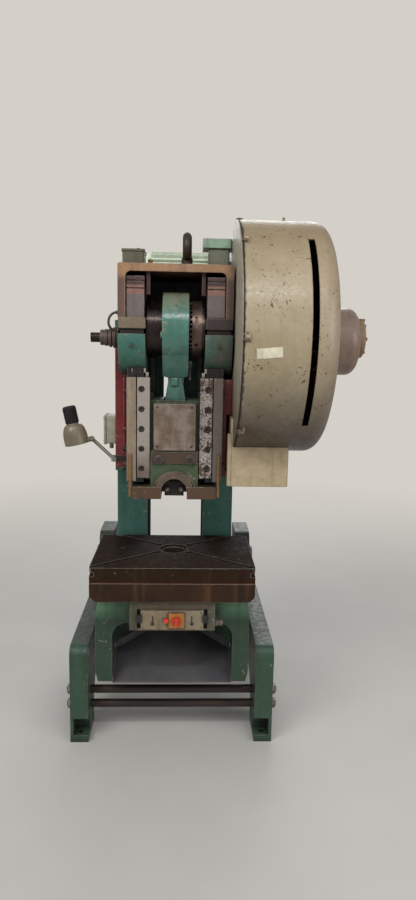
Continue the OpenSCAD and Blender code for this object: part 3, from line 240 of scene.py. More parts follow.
def oily_grime_and_shade(name):
    """Mask of oily soil gathering in corners and running down walls, with painted shade in corners.
    """
    g = Group(name, {"Distance": 0.06, "Amount": 0.7}, ["Mask"])
    # Painted shade: the occluded share of each point darkens it, as shade in a corner would
    open_share = g.add("AmbientOcclusion", {"Distance": g.given["Distance"]}, samples=6)
    hidden = g.minus(1.0, open_share.outputs["AO"])
    cloud = g.noise(g.given["Place"], 9, 6, 0.65)
    runs = g.noise(g.given["Place"], 14, 4, 0.6, stretch=(1, 1, 0.12))
    both = g.plus(g.times(cloud, 0.9), runs)
    thick = g.times(g.plus(hidden, 0.12), both)
    g.give("Mask", g.times(g.steps(thick, 0.1, 0.75), g.given["Amount"]))
    return g.tree


def patina_layers(name):
    """Broad clouds, fine mottling, sparse chips and vertical runs, all from 0 to 1."""
    g = Group(name, {"Chips": 0.3, "Scale": 1.0}, ["Cloud", "Mottle", "Chip", "Run"])
    values = {0: g.given["Place"], "Scale": g.given["Scale"]}
    place = g.add("VectorMath", values, operation="SCALE").outputs[0]
    g.give("Cloud", g.steps(g.noise(place, 5, 4), 0.36, 0.64))
    g.give("Mottle", g.steps(g.noise(place, 45, 6, 0.7), 0.3, 0.7))
    spots = g.noise(place, 60, 3, 0.6, distortion=0.6)
    where = g.noise(place, 11, 2, 0.5)
    level = g.plus(spots, g.scaled(where, 0.5, -0.25))
    limit = g.minus(0.86, g.times(g.given["Chips"], 0.32))
    g.give("Chip", g.calc("MULTIPLY", g.minus(level, limit), 30.0, clamp=True))
    runs = g.noise(place, 26, 3, 0.6, stretch=(1, 1, 0.07))
    g.give("Run", g.steps(runs, 0.5, 0.72))
    return g.tree


GROUPS = {"Worn Edges": worn_edges, "Oily Grime And Shade": oily_grime_and_shade, "Patina": patina_layers}


class Finish(Net):
    """A material while its nodes are wired, and the CAD nodes it goes on."""

    def __init__(self, name, on=""):
        self.material = bpy.data.materials.new(name)
        self.material.use_nodes = True
        super().__init__(self.material.node_tree)
        self.shader = self.tree.nodes["Principled BSDF"]
        self.place = self.add("TexCoord").outputs["Object"]
        self.xyz = self.add("SeparateXYZ", {0: self.place}).outputs
        for node in on.split():
            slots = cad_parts[node].data.materials
            slots.clear()
            slots.append(self.material)

    def put(self, name, **values):
        """Place one of the shared groups, built the first time, and return its outputs."""
        group = bpy.data.node_groups.get(name) or GROUPS[name](name)
        return self.add("Group", {"Place": self.place, **values}, node_tree=group).outputs

    def zone(self, x=None, y=None, z=None, wide=None, ring=None, soft=0.003, ragged=0.0):
        """Mask of the space between the given limits; wide limits the distance from the middle.

        A ring (x, z, inner, outer) runs round an axis along Y."""
        mask = rough = None
        if ragged:
            rough = self.scaled(self.noise(self.place, 22, 5, 0.65), ragged, -ragged / 2)
        for limits, value in (
            (x, self.xyz[0]), (y, self.xyz[1]), (z, self.xyz[2]),
            (wide, self.calc("ABSOLUTE", self.xyz[0]) if wide else None),
            (ring[2:] if ring else None, self.reach(*ring[:2]) if ring else None),
        ):
            if limits is None:
                continue
            if rough is not None:
                value = self.plus(value, rough)
            for limit, sign in ((limits[0], 1), (limits[1], -1)):
                if abs(limit) == FAR:
                    continue
                side = self.scaled(value, sign / soft, 0.5 - sign * limit / soft, clamp=True)
                mask = side if mask is None else self.times(mask, side)
        return mask

    def reach(self, x, z):
        """Distance from an axis along Y."""
        squares = [self.calc("POWER", self.minus(value, centre), 2.0)
                   for value, centre in ((self.xyz[0], x), (self.xyz[2], z))]
        return self.calc("SQRT", self.plus(*squares))

    def base(self, paint, zones):
        """The paint, repainted inside each zone: (limits of the zone, colour)."""
        colour = (*paint, 1)
        for limits, other in zones:
            colour = self.mix(self.zone(**limits), colour, other)
        return colour

    def bump(self, heights, normal=None):
        """Chain of bumps: (height, depth in metres)."""
        for height, depth in heights:
            values = {"Height": height, "Distance": depth, "Strength": 1.0}
            if normal is not None:
                values["Normal"] = normal
            normal = self.add("Bump", values).outputs[0]
        self.link("Normal", normal)

    def link(self, name, value):
        """Wire a value to the shader."""
        self.tree.links.new(value, self.shader.inputs[name])


def painted(name, paint, zones=(), *, on="", chips=0.3, roughness=0.45, edge=1.0, dirt_and_shade=0.7,
            under=None, cast=0.0006, runs=0.35, cloud=0.45, mottle=0.38, scale=1.0):
    """Worn paint on metal: faded clouds, chips, worn edges, runs, soil and painted shade in
    corners.
    """
    wear = bpy.context.scene.press_wear
    f = Finish(name, on)
    base = f.base(paint, zones)
    patina = f.put("Patina", Chips=chips, Scale=scale)
    faded = f.mix(f.times(patina["Cloud"], cloud), base, f.paler(base))
    shaded = f.mix(f.times(patina["Mottle"], mottle), faded, f.mix(0.6, base, wear.grime_and_shade))
    edges = f.put("Worn Edges", Radius=wear.edge_radius, Amount=wear.edge * edge)
    bare = f.mix(patina["Mottle"], under or wear.steel, wear.rust)
    worn = f.calc("MAXIMUM", patina["Chip"], edges["Mask"])
    surface = f.mix(worn, shaded, bare)
    # Oily soiling and painted shade darken the hidden corners
    grime_and_shade = f.put("Oily Grime And Shade", Amount=wear.dirt_and_shade * dirt_and_shade)
    streak = f.times(patina["Run"], runs)
    soiled = f.mix(streak, surface, f.mix(0.75, surface, wear.grime_and_shade))
    f.link("Base Color", f.mix(grime_and_shade["Mask"], soiled, wear.grime_and_shade))
    rough = f.scaled(patina["Mottle"], 0.22, roughness - 0.08)
    f.link("Roughness", f.scaled(grime_and_shade["Mask"], -0.12, rough))
    f.link("Metallic", f.times(edges["Mask"], 0.55))
    skin = f.noise(f.place, 160, 4, 0.6)
    f.bump([(skin, cast), (f.minus(1.0, worn), 0.0004)], edges["Normal"])


def metal(name, paint, stain, zones=(), *, on="", metallic, roughness, blotch=0.6, rust=0.2,
          dirt_and_shade=0.8, edge=0.6, pits=0.2, scale=1.0, specular=0.5):
    """Machined or cast bare metal with stains, rust, oil and bright edges."""
    wear = bpy.context.scene.press_wear
    f = Finish(name, on)
    base = f.base(paint, zones)
    patina = f.put("Patina", Chips=pits, Scale=scale)
    stained = f.mix(f.times(patina["Cloud"], blotch), base, stain)
    mottled = f.mix(f.times(patina["Mottle"], 0.5), stained, f.mix(0.5, stained, wear.grime_and_shade))
    rusty = f.mix(f.times(patina["Run"], rust), mottled, wear.rust)
    pitted = f.mix(f.times(patina["Chip"], 0.8), rusty, wear.rust)
    edges = f.put("Worn Edges", Radius=wear.edge_radius * 0.6, Amount=wear.edge * edge)
    bright = f.mix(edges["Mask"], pitted, wear.steel)
    # Oily soiling and painted shade darken the hidden corners
    grime_and_shade = f.put("Oily Grime And Shade", Amount=wear.dirt_and_shade * dirt_and_shade)
    f.link("Base Color", f.mix(grime_and_shade["Mask"], bright, wear.grime_and_shade))
    dull = f.scaled(patina["Mottle"], 0.2, roughness)
    f.link("Roughness", f.scaled(patina["Cloud"], 0.12, dull))
    f.shader.inputs["Specular IOR Level"].default_value = specular
    f.link("Metallic", f.scaled(patina["Mottle"], -0.35 * metallic, metallic))
    f.bump([(f.noise(f.place, 120, 5, 0.65), 0.0003)], edges["Normal"])


def plastic(name, paint, roughness=0.35, dirt_and_shade=0.5, on=""):
    """Moulded plastic or rubber with a scuffed, greasy skin."""
    wear = bpy.context.scene.press_wear
    f = Finish(name, on)
    patina = f.put("Patina", Chips=0.05, Scale=2.0)
    greasy = f.times(patina["Cloud"], 0.35)
    base = f.mix(greasy, paint, f.mix(0.4, paint, wear.grime_and_shade))
    # Oily soiling and painted shade darken the hidden corners
    grime_and_shade = f.put("Oily Grime And Shade", Amount=dirt_and_shade, Distance=0.02)
    f.link("Base Color", f.mix(grime_and_shade["Mask"], base, wear.grime_and_shade))
    f.link("Roughness", f.scaled(patina["Mottle"], 0.25, roughness))
    f.bump([(f.noise(f.place, 400, 3, 0.6), 0.0001)])


def deselect():
    """Leave nothing selected, so that the next operator acts on the new part alone."""
    bpy.ops.object.select_all(action="DESELECT")


def place(part, spot, direction):
    """Stand a part that was built along +Z on a spot, pointing along a direction."""
    part.location = spot
    part.rotation_euler = Vector(direction).to_track_quat("Z", "Y").to_euler()
    return part


def soften(width):
    """Bevel the sharp edges of the active part."""
    bpy.ops.object.mode_set(mode="EDIT")
    bpy.ops.mesh.select_mode(type="EDGE")
    bpy.ops.mesh.select_all(action="DESELECT")
    bpy.ops.mesh.edges_select_sharp(sharpness=math.radians(50))
    bpy.ops.mesh.bevel(offset=width, segments=2, affect="EDGES")
    bpy.ops.object.mode_set(mode="OBJECT")


def block(low, high, rounding=0.0008):
    """A rounded block between two corners."""
    deselect()
    low, high = Vector(low), Vector(high)
    bpy.ops.mesh.primitive_cube_add(size=1, location=(low + high) / 2)
    bpy.context.object.scale = high - low
    bpy.ops.object.transform_apply(location=False, rotation=False, scale=True)
    soften(rounding)
    return bpy.context.object


def turned(profile, spot, direction, sides=32):
    """A turned part: (distance along the axis, radius) steps, extruded one after the other."""
    deselect()
    along, radius = profile[0]
    bpy.ops.mesh.primitive_circle_add(
        vertices=sides, radius=radius, fill_type="NGON", location=(0, 0, along)
    )
    bpy.ops.object.transform_apply(location=True, rotation=False, scale=False)
    bpy.ops.object.mode_set(mode="EDIT")
    bpy.ops.mesh.select_mode(type="FACE")
    bpy.ops.mesh.select_all(action="SELECT")
    for z, r in profile[1:]:
        bpy.ops.mesh.extrude_region_move(TRANSFORM_OT_translate={"value": (0, 0, z - along)})
        if r != radius:
            bpy.ops.transform.resize(value=(r / radius, r / radius, 1), center_override=(0, 0, z))
        along, radius = z, r
    bpy.ops.object.mode_set(mode="OBJECT")
    return place(bpy.context.object, spot, direction)


def drum(sides, radius, depth, middle, ends="NGON"):
    """A cylinder along X."""
    deselect()
    bpy.ops.mesh.primitive_cylinder_add(
        vertices=sides, radius=radius, depth=depth, end_fill_type=ends, location=middle,
        rotation=(0, math.radians(90), 0)
    )
    return bpy.context.object


def nut(spot, direction, across, height, chamfer=0.0006):
    """A hexagon nut or bolt head with chamfered edges."""
    part = turned([(0, across / 1.732), (height, across / 1.732)], spot, direction, sides=6)
    soften(chamfer)
    return part


def pipe(points, radius, sides=12):
    """A wire or a formed pipe on a smooth path through the points, with closed ends."""
    deselect()
    bpy.ops.curve.primitive_bezier_curve_add(location=(0, 0, 0))
    path = bpy.context.object
    knots = path.data.splines[0].bezier_points
    knots.add(len(points) - 2)
    for knot, point in zip(knots, points):
        knot.co = point
        knot.handle_left_type = knot.handle_right_type = "AUTO"
    path.data.bevel_depth = radius
    path.data.bevel_resolution = max(1, sides // 4 - 1)
    path.data.resolution_u = 8
    path.data.use_fill_caps = True
    bpy.ops.object.convert(target="MESH")
    return bpy.context.object


def copies(part, moves):
    """The part and one copy, with its own mesh, for each move."""
    bpy.context.view_layer.update()
    parts = [part]
    for move in moves:
        deselect()
        part.select_set(True)
        bpy.context.view_layer.objects.active = part
        bpy.ops.object.duplicate(linked=False)
        twin = bpy.context.object
        twin.matrix_world = move @ part.matrix_world
        parts.append(twin)
    return parts


def shifts(part, offsets):
    """The part and its copies at other offsets."""
    return copies(part, [Matrix.Translation(offset) for offset in offsets])


def about_x(degrees, y, z):
    """A turn about an axis along X through a point."""
    return (
        Matrix.Translation((0, y, z))
        @ Matrix.Rotation(math.radians(degrees), 4, "X")
        @ Matrix.Translation((0, -y, -z))
    )


def modify(kind, **settings):
    """Add a modifier to the active part and apply it."""
    bpy.ops.object.modifier_add(type=kind)
    modifier = bpy.context.object.modifiers[-1]
    for key, value in settings.items():
        setattr(modifier, key, value)
    bpy.ops.object.modifier_apply(modifier=modifier.name)


def assemble(name, body, material, parts, smooth=35):
    """Join parts into one finished piece: placed, normals outward, shaded, hung on a body."""
    deselect()
    for part in parts:
        part.select_set(True)
    bpy.context.view_layer.objects.active = parts[0]
    bpy.ops.object.transform_apply(location=True, rotation=True, scale=True)
    if len(parts) > 1:
        bpy.ops.object.join()
    piece = bpy.context.object
    bpy.ops.object.mode_set(mode="EDIT")
    bpy.ops.mesh.select_all(action="SELECT")
    bpy.ops.mesh.remove_doubles(threshold=0.00002)
    bpy.ops.mesh.normals_make_consistent(inside=False)
    bpy.ops.object.mode_set(mode="OBJECT")
    bpy.ops.object.shade_smooth_by_angle(angle=math.radians(smooth))
    piece.name = piece.data.name = name
    piece.data.materials.clear()
    piece.data.materials.append(bpy.data.materials[material])
    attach(piece, body)
    return piece


# Operators


class PressOperator(bpy.types.Operator):
    """Common ground of the press's operators"""

    bl_options = {"REGISTER", "UNDO"}

    def execute(self, context):
        self.make(context.scene)
        return {"FINISHED"}


class PRESS_OT_finish_frame(PressOperator):
    """Paint the tilting frame, the legs, the strap and the ram"""

    bl_idname = "press.finish_frame"
    bl_label = "Frame Castings"

    def make(self, scene):
        paints = scene.press_paints
        teal, green, red = paints.teal, paints.leg_green, paints.cheek_red
        lower = ({"z": (-FAR, 0.7), "soft": 0.02}, tuple(0.72 * c for c in green))
        cheek = ({"y": (-0.185, FAR), "z": (1.112, 1.7), "wide": (0.205, 1), "soft": 0.003}, red)
        inner_cheek = ({"y": (-0.43, -0.175), "z": (1.112, 1.52), "wide": (0.1835, 0.26)}, red)
        ways = ({"y": (-0.3, -0.181), "z": (1.12, 1.6), "wide": (0.09, 0.1475), "soft": 0.002},
                (0.33, 0.32, 0.28))
        # Painted shade with some oily soiling: near-black below the bearing housings, for the deep
        # shadow there
        under = ({"y": (-FAR, -0.3), "z": (1.498, 1.546), "wide": (0.08, 0.184), "soft": 0.01,
                  "ragged": 0.012}, (0.003, 0.003, 0.003))
        grubby = ({"x": (0.135, 0.215), "y": (-FAR, -0.35), "z": (1.53, 1.7), "soft": 0.1,
                   "ragged": 0.2}, (0.095, 0.08, 0.056))
        # Painted light: a lighter green on the transom, which lies in the table's shadow
        transom = ({"y": (-FAR, -0.35), "z": (0.575, 0.7), "wide": (-FAR, 0.32), "soft": 0.05,
                    "ragged": 0.02}, (0.085, 0.215, 0.11))
        painted("frame paint", teal, [lower, transom, grubby, cheek, inner_cheek, ways, under],
                on="main_frame", chips=0.58, dirt_and_shade=1.1)
        oily = ({"y": (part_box("base_leg_left")[0][1] + 0.05, FAR), "z": (0.36, FAR),
                 "wide": (-FAR, 0.45), "soft": 0.04, "ragged": 0.04}, (0.022, 0.04, 0.019))
        painted("leg paint", green, [oily], on="base_leg_left base_leg_right motor_bracket",
                chips=0.45, dirt_and_shade=1.1)
        nipples = ({"z": (1.6, FAR)}, (0.03, 0.026, 0.022))
        painted("oil pipe paint", red, [nipples], on="oil_pipe", chips=0.5, dirt_and_shade=1.0)
        worn_top = ({"z": (1.785, FAR), "soft": 0.09, "ragged": 0.16}, (0.22, 0.22, 0.14))
        bleached = tuple(1.2 * c + 0.022 for c in teal)
        painted("strap paint", bleached, [worn_top], on="strap", roughness=0.2, chips=0.62,
                dirt_and_shade=0.8, cast=0.0004, under=(0.33, 0.35, 0.27))
        flange = ({"z": (-FAR, 1.0885), "soft": 0.004}, (0.085, 0.044, 0.021))
        arch = (0.0, 1.062)
        line = ({"ring": (*arch, -FAR, 0.085), "y": (-FAR, -0.4), "soft": 0.001},
                (0.3, 0.24, 0.15))
        band = ({"ring": (*arch, -FAR, 0.081), "y": (-FAR, -0.4), "soft": 0.001},
                (0.11, 0.072, 0.042))
        painted("ram paint", (0.05, 0.086, 0.036), [line, band, flange], on="ram", chips=0.5,
                dirt_and_shade=1.0, runs=0.5)


class PRESS_OT_finish_crown(PressOperator):
    """Paint the crown, the bearing caps and what stands on the crown"""

    bl_idname = "press.finish_crown"
    bl_label = "Crown"

    def make(self, scene):
        paints = scene.press_paints
        hood_low, hood_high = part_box("crown_hood")
        sides = ({"wide": (hood_high[0] - 0.03, 1), "z": (-FAR, hood_high[2] - 0.05),
                  "soft": 0.02, "ragged": 0.02}, (0.125, 0.066, 0.046))
        room = ({"wide": (-1, hood_high[0] - 0.026), "z": (-FAR, hood_high[2] - 0.028),
                 "y": (hood_low[1] + 0.003, FAR)}, paints.inside_red)
        painted("crown paint", paints.ochre, [sides, room], on="crown_hood", dirt_and_shade=0.9, cloud=0.3)
        cap_low, cap_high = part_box("bearing_cap_left")
        foot = cap_low[2] + 0.045
        top = cap_high[2]
        bands = [
            ({"z": (-FAR, foot), "x": (0, 1)}, (0.042, 0.026, 0.023)),
            ({"z": (foot, top - 0.075)}, (0.15, 0.12, 0.112)),
            ({"z": (top - 0.075, top - 0.042)}, (0.25, 0.11, 0.085)),
            ({"z": (top - 0.042, FAR)}, (0.06, 0.028, 0.026)),
        ]
        painted("cap paint", (0.185, 0.135, 0.085), bands, on="bearing_cap_left bearing_cap_right",
                dirt_and_shade=0.9, cast=0.0014)
        painted("motor paint", paints.motor, on="motor_body motor_end_bell", chips=0.15, dirt_and_shade=0.3,
                cloud=0.3, mottle=0.2, cast=0.0002)
        lid = ({"z": (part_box("terminal_box")[1][2] - 0.0375, FAR), "soft": 0.001},
               (0.27, 0.4, 0.28))
        painted("terminal box paint", (0.165, 0.175, 0.118), [lid], on="terminal_box", chips=0.15,
                cloud=0.3, cast=0.0002)
        painted("lubricator paint", (0.105, 0.095, 0.052), on="lubricator", dirt_and_shade=0.8, cloud=0.3,
                cast=0.0002)
        painted("switch box paint", (0.42, 0.39, 0.29), on="switch_box", chips=0.15, dirt_and_shade=0.6,
                cloud=0.3, cast=0.0002)


class PRESS_OT_finish_guard(PressOperator):
    """Paint the flywheel guard, its hub and its lower box"""

    bl_idname = "press.finish_guard"
    bl_label = "Flywheel Guard"

    def make(self, scene):
        paints = scene.press_paints
        zones = [
            ({"x": (0.47, FAR), "soft": 0.06, "ragged": 0.05}, (0.32, 0.25, 0.16)),
            ({"z": (1.95, FAR), "soft": 0.16, "ragged": 0.08}, (0.25, 0.185, 0.098)),
            # Painted shade with a little soiling: the drum darkens towards its underside, away from
            # the light above
            ({"z": (-FAR, 1.41), "soft": 0.34, "ragged": 0.16}, (0.038, 0.025, 0.02)),
        ]
        rim = ({"x": (0.2, GUARD_X + 0.006), "soft": 0.004, "ragged": 0.022},
               (0.05, 0.034, 0.024))
        painted("guard paint", paints.guard, [*zones, rim], on="guard_drum", roughness=0.34,
                chips=0.62, cast=0.0002, mottle=0.2, runs=0.12, under=(0.06, 0.038, 0.026),
                scale=1.6)
        # The back plate takes the same painted shade towards its lower part
        painted("guard plate paint", (0.4, 0.355, 0.255), [zones[2]], on="guard_back_plate",
                roughness=0.4, chips=0.25, cast=0.0002, cloud=0.4, under=(0.09, 0.06, 0.04))
        painted("guard box paint", (0.425, 0.33, 0.198), on="guard_lower_box", roughness=0.4,
                chips=0.12, dirt_and_shade=0.5, cast=0.0002, cloud=0.2)
        painted("hub paint", paints.hub, on="hub_cover", roughness=0.3, chips=0.15, dirt_and_shade=0.5,
                cast=0.0002)
        painted("end cap paint", (0.29, 0.165, 0.075), on="hub_end_cap", roughness=0.4, chips=0.4,
                dirt_and_shade=0.6)


class PRESS_OT_finish_table(PressOperator):
    """Rust and oil for the table, the chute and the flywheel"""

    bl_idname = "press.finish_table"
    bl_label = "Table"

    def make(self, scene):
        metal("table iron", (0.024, 0.012, 0.006), (0.052, 0.024, 0.01), on="table_block",
              metallic=0.0, roughness=0.55, rust=0.5, blotch=0.7, dirt_and_shade=0.9, edge=0.8, specular=0.18)
        low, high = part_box("bolster_plate")
        joint = ({"z": (-FAR, low[2] + 0.004), "ragged": 0.006}, (0.12, 0.04, 0.018))
        top = ({"z": (high[2] - 0.004, FAR)}, (0.01, 0.008, 0.007))
        metal("table plate", (0.026, 0.014, 0.008), (0.03, 0.017, 0.01), [joint, top],
              on="bolster_plate", metallic=0.0, roughness=0.55, rust=0.12, dirt_and_shade=0.9, edge=1.3,
              specular=0.04, pits=0.05)
        metal("chute sheet", (0.062, 0.06, 0.066), (0.105, 0.1, 0.1), on="scrap_chute",
              metallic=0.5, roughness=0.4, rust=0.25)
        metal("flywheel iron", (0.1, 0.085, 0.07), (0.15, 0.09, 0.05), on="flywheel motor_pulley",
              metallic=0.6, roughness=0.45, rust=0.4)


class PRESS_OT_finish_drive(PressOperator):
    """Oily steel for the crankshaft, the guides, the ram plate and the fasteners"""

    bl_idname = "press.finish_drive"
    bl_label = "Drive and Guides"

    def make(self, scene):
        metal("crank steel", (0.05, 0.036, 0.032), (0.02, 0.012, 0.01),
              on="crankshaft ball_screw lock_nut", metallic=0.9, roughness=0.16, rust=0.1,
              blotch=0.7, pits=0.05, edge=0.3)
        metal("coupling steel", (0.27, 0.18, 0.145), (0.06, 0.038, 0.03), on="stroke_coupling",
              metallic=0.9, roughness=0.2, rust=0.15, pits=0.1)
        metal("collar iron", (0.18, 0.135, 0.105), (0.08, 0.05, 0.035), on="shaft_collars",
              metallic=0.6, roughness=0.35, rust=0.4)
        metal("ram plate steel", (0.29, 0.235, 0.185), (0.17, 0.114, 0.08), on="ram_front_plate",
              metallic=0.35, roughness=0.45, rust=0.45, blotch=0.95, dirt_and_shade=0.7, pits=0.45, scale=3.6)
        oily_end = ({"z": (-FAR, 1.19), "soft": 0.09, "ragged": 0.05}, (0.15, 0.115, 0.09))
        metal("gib steel", (0.46, 0.405, 0.35), (0.3, 0.25, 0.21), [oily_end], on="gib_plate_left",
              metallic=0.55, roughness=0.34, rust=0.15, blotch=0.5, dirt_and_shade=0.5)
        painted("flaked gib paint", (0.39, 0.34, 0.31), on="gib_plate_right", chips=1.14, edge=1.6,
                dirt_and_shade=0.8, under=(0.045, 0.032, 0.026), scale=2.0)
        metal("fastener steel", (0.33, 0.3, 0.26), (0.12, 0.085, 0.06),
              on="tie_bar_nuts trunnion_pins clamp_bolts cap_nuts shank_clamp_nuts lamp_arm",
              metallic=0.8, roughness=0.34, rust=0.3)
        painted("screw black", (0.007, 0.006, 0.005), on="gib_screw_set", roughness=0.5, chips=0.1,
                dirt_and_shade=0.3)
        metal("black steel", (0.035, 0.028, 0.024), (0.07, 0.045, 0.032),
              on="tie_bars cap_shims gib_adjusters lifting_eye shank_clamp lamp_bracket",
              metallic=0.6, roughness=0.32, edge=0.9)
        strip = ({"y": (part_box("ram_bolts")[0][1] + 0.012, FAR), "soft": 0.001},
                 (0.1, 0.066, 0.048))
        metal("ram strip steel", (0.038, 0.03, 0.026), (0.08, 0.052, 0.038), [strip],
              on="ram_bolts", metallic=0.45, roughness=0.38, rust=0.3, edge=0.7)
        metal("bearing bronze", (0.42, 0.27, 0.11), (0.2, 0.12, 0.05),
              on="bearing_bushes strap_liner guide_liners", metallic=0.9, roughness=0.3)
        right = ({"x": (0, FAR)}, (0.14, 0.108, 0.086))
        painted("side bar paint", scene.press_paints.bar, [right], on="guide_side_bars")
        painted("strip brass", scene.press_paints.brass, on="wear_strips", roughness=0.4,
                chips=0.35)
        plastic("belt rubber", (0.022, 0.021, 0.02), 0.6, 0.3, on="drive_belts")


class PRESS_OT_finish_controls(PressOperator):
    """Finishes of the control box, its handle and buttons, and the work lamp"""

    bl_idname = "press.finish_controls"
    bl_label = "Controls and Lamp"

    def make(self, scene):
        paints = scene.press_paints
        ends = ({"wide": (0.128, 1), "soft": 0.004}, (0.085, 0.078, 0.048))
        upper = ({"z": (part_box("control_panel")[1][2], FAR), "soft": 0.008, "ragged": 0.01},
                 (0.09, 0.066, 0.038))
        painted("control box paint", paints.panel, [upper, ends], on="control_box", chips=0.5,
                dirt_and_shade=1.0, runs=0.6)
        painted("panel paint", paints.panel, on="control_panel", chips=0.42, dirt_and_shade=0.9, runs=0.7,
                cast=0.0002)
        plastic("black plastic", (0.02, 0.019, 0.018), on="panel_fittings")
        plastic("selector yellow", paints.plate, 0.3, on="selector_plate")
        plastic("handle red", paints.knob, 0.25, on="selector_knob stop_button")
        painted("shade paint", paints.shade, on="lamp_head", roughness=0.35, chips=0.25, dirt_and_shade=0.6,
                cast=0.0001)


class PRESS_OT_guard_fittings(PressOperator):
    """Model the guard's toggle latches, its rim strip and the blank patch"""

    bl_idname = "press.guard_fittings"
    bl_label = "Guard Fittings"

    def make(self, scene):
        sizes = scene.press_sizes
        plastic("seam rubber", (0.016, 0.01, 0.007), 0.8, 0.1)
        painted("patch paper", (0.7, 0.65, 0.48), roughness=0.7, chips=0.12, edge=0.4, dirt_and_shade=0.5,
                cast=0.0001, under=(0.3, 0.25, 0.16))

        def at(*offsets):
            """Points from their offsets to the latch's place on the drum's front."""
            return [(GUARD_X + x, GUARD_Y - GUARD_R + y, GUARD_Z + z) for x, y, z in offsets]

        latch = [
            block(*at((0.0155, -0.0026, -0.0155), (0.0255, 0.001, 0.0155))),
            block(*at((0.007, -0.0105, -0.0065), (0.0215, -0.0075, 0.0065)), 0.001),
            pipe(at((0.006, -0.009, -0.0085), (0.006, -0.0094, 0), (0.006, -0.009, 0.0085)),
                 0.0026),
            pipe(at((0.018, -0.0076, -0.0095), (0.008, -0.0082, -0.011),
                    (-0.001, -0.0074, -0.008), (-0.003, -0.0064, 0), (-0.001, -0.0074, 0.008),
                    (0.008, -0.0082, 0.011), (0.018, -0.0076, 0.0095)), 0.0014),
            block(*at((0.0165, -0.0085, -0.0115), (0.0205, -0.002, 0.0115))),
        ]
        rivet = turned([(0, 0.0024), (0.0008, 0.0024), (0.0016, 0.0014)],
                       *at((0.0225, -0.0024, -0.013)), (0, -1, 0), 12)
        latch += shifts(rivet, [(0, 0, 0.026)])
        first = assemble("guard_latch_0", "frame", "guard box paint", latch)
        for count, turn in enumerate((48, -48, -87)):
            twin = copies(first, [about_x(turn, GUARD_Y, GUARD_Z)])[1]
            assemble(f"guard_latch_{count + 1}", "frame", "guard box paint", [twin])
        strip = drum(240, GUARD_R + GUARD_GAP, sizes.seam, (GUARD_X + 0.0008, GUARD_Y, GUARD_Z),
                     "NOTHING")
        modify("SOLIDIFY", thickness=0.0014, offset=1)
        modify("BEVEL", width=0.0004, segments=2, limit_method="ANGLE")
        assemble("guard_rim_strip", "frame", "seam rubber", [strip])
        self.patch(sizes)

    def patch(self, sizes):
        """Cut the patch out of a thin shell that lies on the drum."""
        middle = Vector((0.315, GUARD_Y - GUARD_R, 1.6105))
        lean = math.radians(5)
        along = Vector((math.cos(lean), 0, math.sin(lean)))
        up = Vector((-math.sin(lean), 0, math.cos(lean)))
        shell = drum(360, GUARD_R + GUARD_GAP, 0.3, (middle.x, GUARD_Y, GUARD_Z), "NOTHING")
        bpy.ops.object.transform_apply(location=True, rotation=True, scale=True)
        bpy.ops.object.mode_set(mode="EDIT")
        cuts = [(Vector((0, GUARD_Y - 0.2, 0)), Vector((0, 1, 0)))]
        for side in (-1, 1):
            for way, size in ((along, sizes.patch_width), (up, sizes.patch_height)):
                cuts.append((middle + side * way * (size / 2), side * way))
        for spot, normal in cuts:
            bpy.ops.mesh.select_all(action="SELECT")
            bpy.ops.mesh.bisect(plane_co=spot, plane_no=normal, clear_outer=True)
        bpy.ops.object.mode_set(mode="OBJECT")
        modify("SOLIDIFY", thickness=0.0006, offset=1)
        assemble("blank_patch", "frame", "patch paper", [shell], 50)


class PRESS_OT_pipework(PressOperator):
    """Model the bent oil line beside the collars, the oil cup and the side cover strip"""

    bl_idname = "press.pipework"
    bl_label = "Oil Line and Strip"

    def make(self, scene):
        radius = scene.press_sizes.oil_line
        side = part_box("crown_hood")[0][0]
        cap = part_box("bearing_cap_left")[0][0]
        line = pipe([
            (side + 0.002, -0.384, 1.75), (side - 0.018, -0.384, 1.7495),
            (side - 0.034, -0.386, 1.738), (side - 0.0415, -0.389, 1.718),
            (side - 0.038, -0.392, 1.698), (side - 0.024, -0.393, 1.684),
            (cap + 0.002, -0.393, 1.681),
        ], radius, 16)
        upper = nut((side - SINK, -0.384, 1.75), (-1, 0, 0), 0.018, 0.008)
        lower = nut((cap - SINK, -0.393, 1.681), (-1, 0, 0), 0.018, 0.008)
        collar = turned([(0, 0.0065), (0.004, 0.0072), (0.006, 0.006)],
                        (side - 0.008, -0.384, 1.75), (-1, 0, 0), 20)
        assemble("oil_line", "frame", "black steel", [line, upper, lower, collar])
        self.strip()
        cup = turned(
            [(0, 0.01), (0.004, 0.01), (0.006, 0.0085), (0.024, 0.0085), (0.026, 0.0105),
             (0.031, 0.0105), (0.034, 0.006), (0.036, 0.003)],
            (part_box("lubricator")[1][0] + 0.02, -0.3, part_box("crown_hood")[1][2]),
            (0, 0, 1), 24)
        assemble("oil_cup", "frame", "bearing bronze", [cup])

    def strip(self):
        """Red cover strip between the right guide and the guard, with its three screws."""
        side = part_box("guide_side_bars")[1][0]
        box_low, box_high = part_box("guard_lower_box")
        low, high = 1.118, 1.502
        front, back = -0.402, -0.398
        parts = [
            block((side + 0.0006, front, low), (box_low[0] - 0.001, back, high)),
            block((box_low[0] - 0.0014, front, box_high[2] + 0.004),
                  (GUARD_X - 0.006, back, high)),
            block((side + SINK, front, low), (side + 0.003, back + 0.026, high)),
        ]
        painted("strip red", (0.19, 0.015, 0.016), chips=0.35, dirt_and_shade=0.5, runs=0.6)
        assemble("cover_strip", "frame", "strip red", parts)
        screw = turned([(0, 0.0052), (0.002, 0.0052), (0.0034, 0.0036), (0.0034, 0.0018)],
                       (side + 0.009, front + SINK, low + 0.055), (0, -1, 0), 16)
        assemble("strip_screws", "frame", "black steel",
                 shifts(screw, [(0, 0, 0.138), (0, 0, 0.276)]))


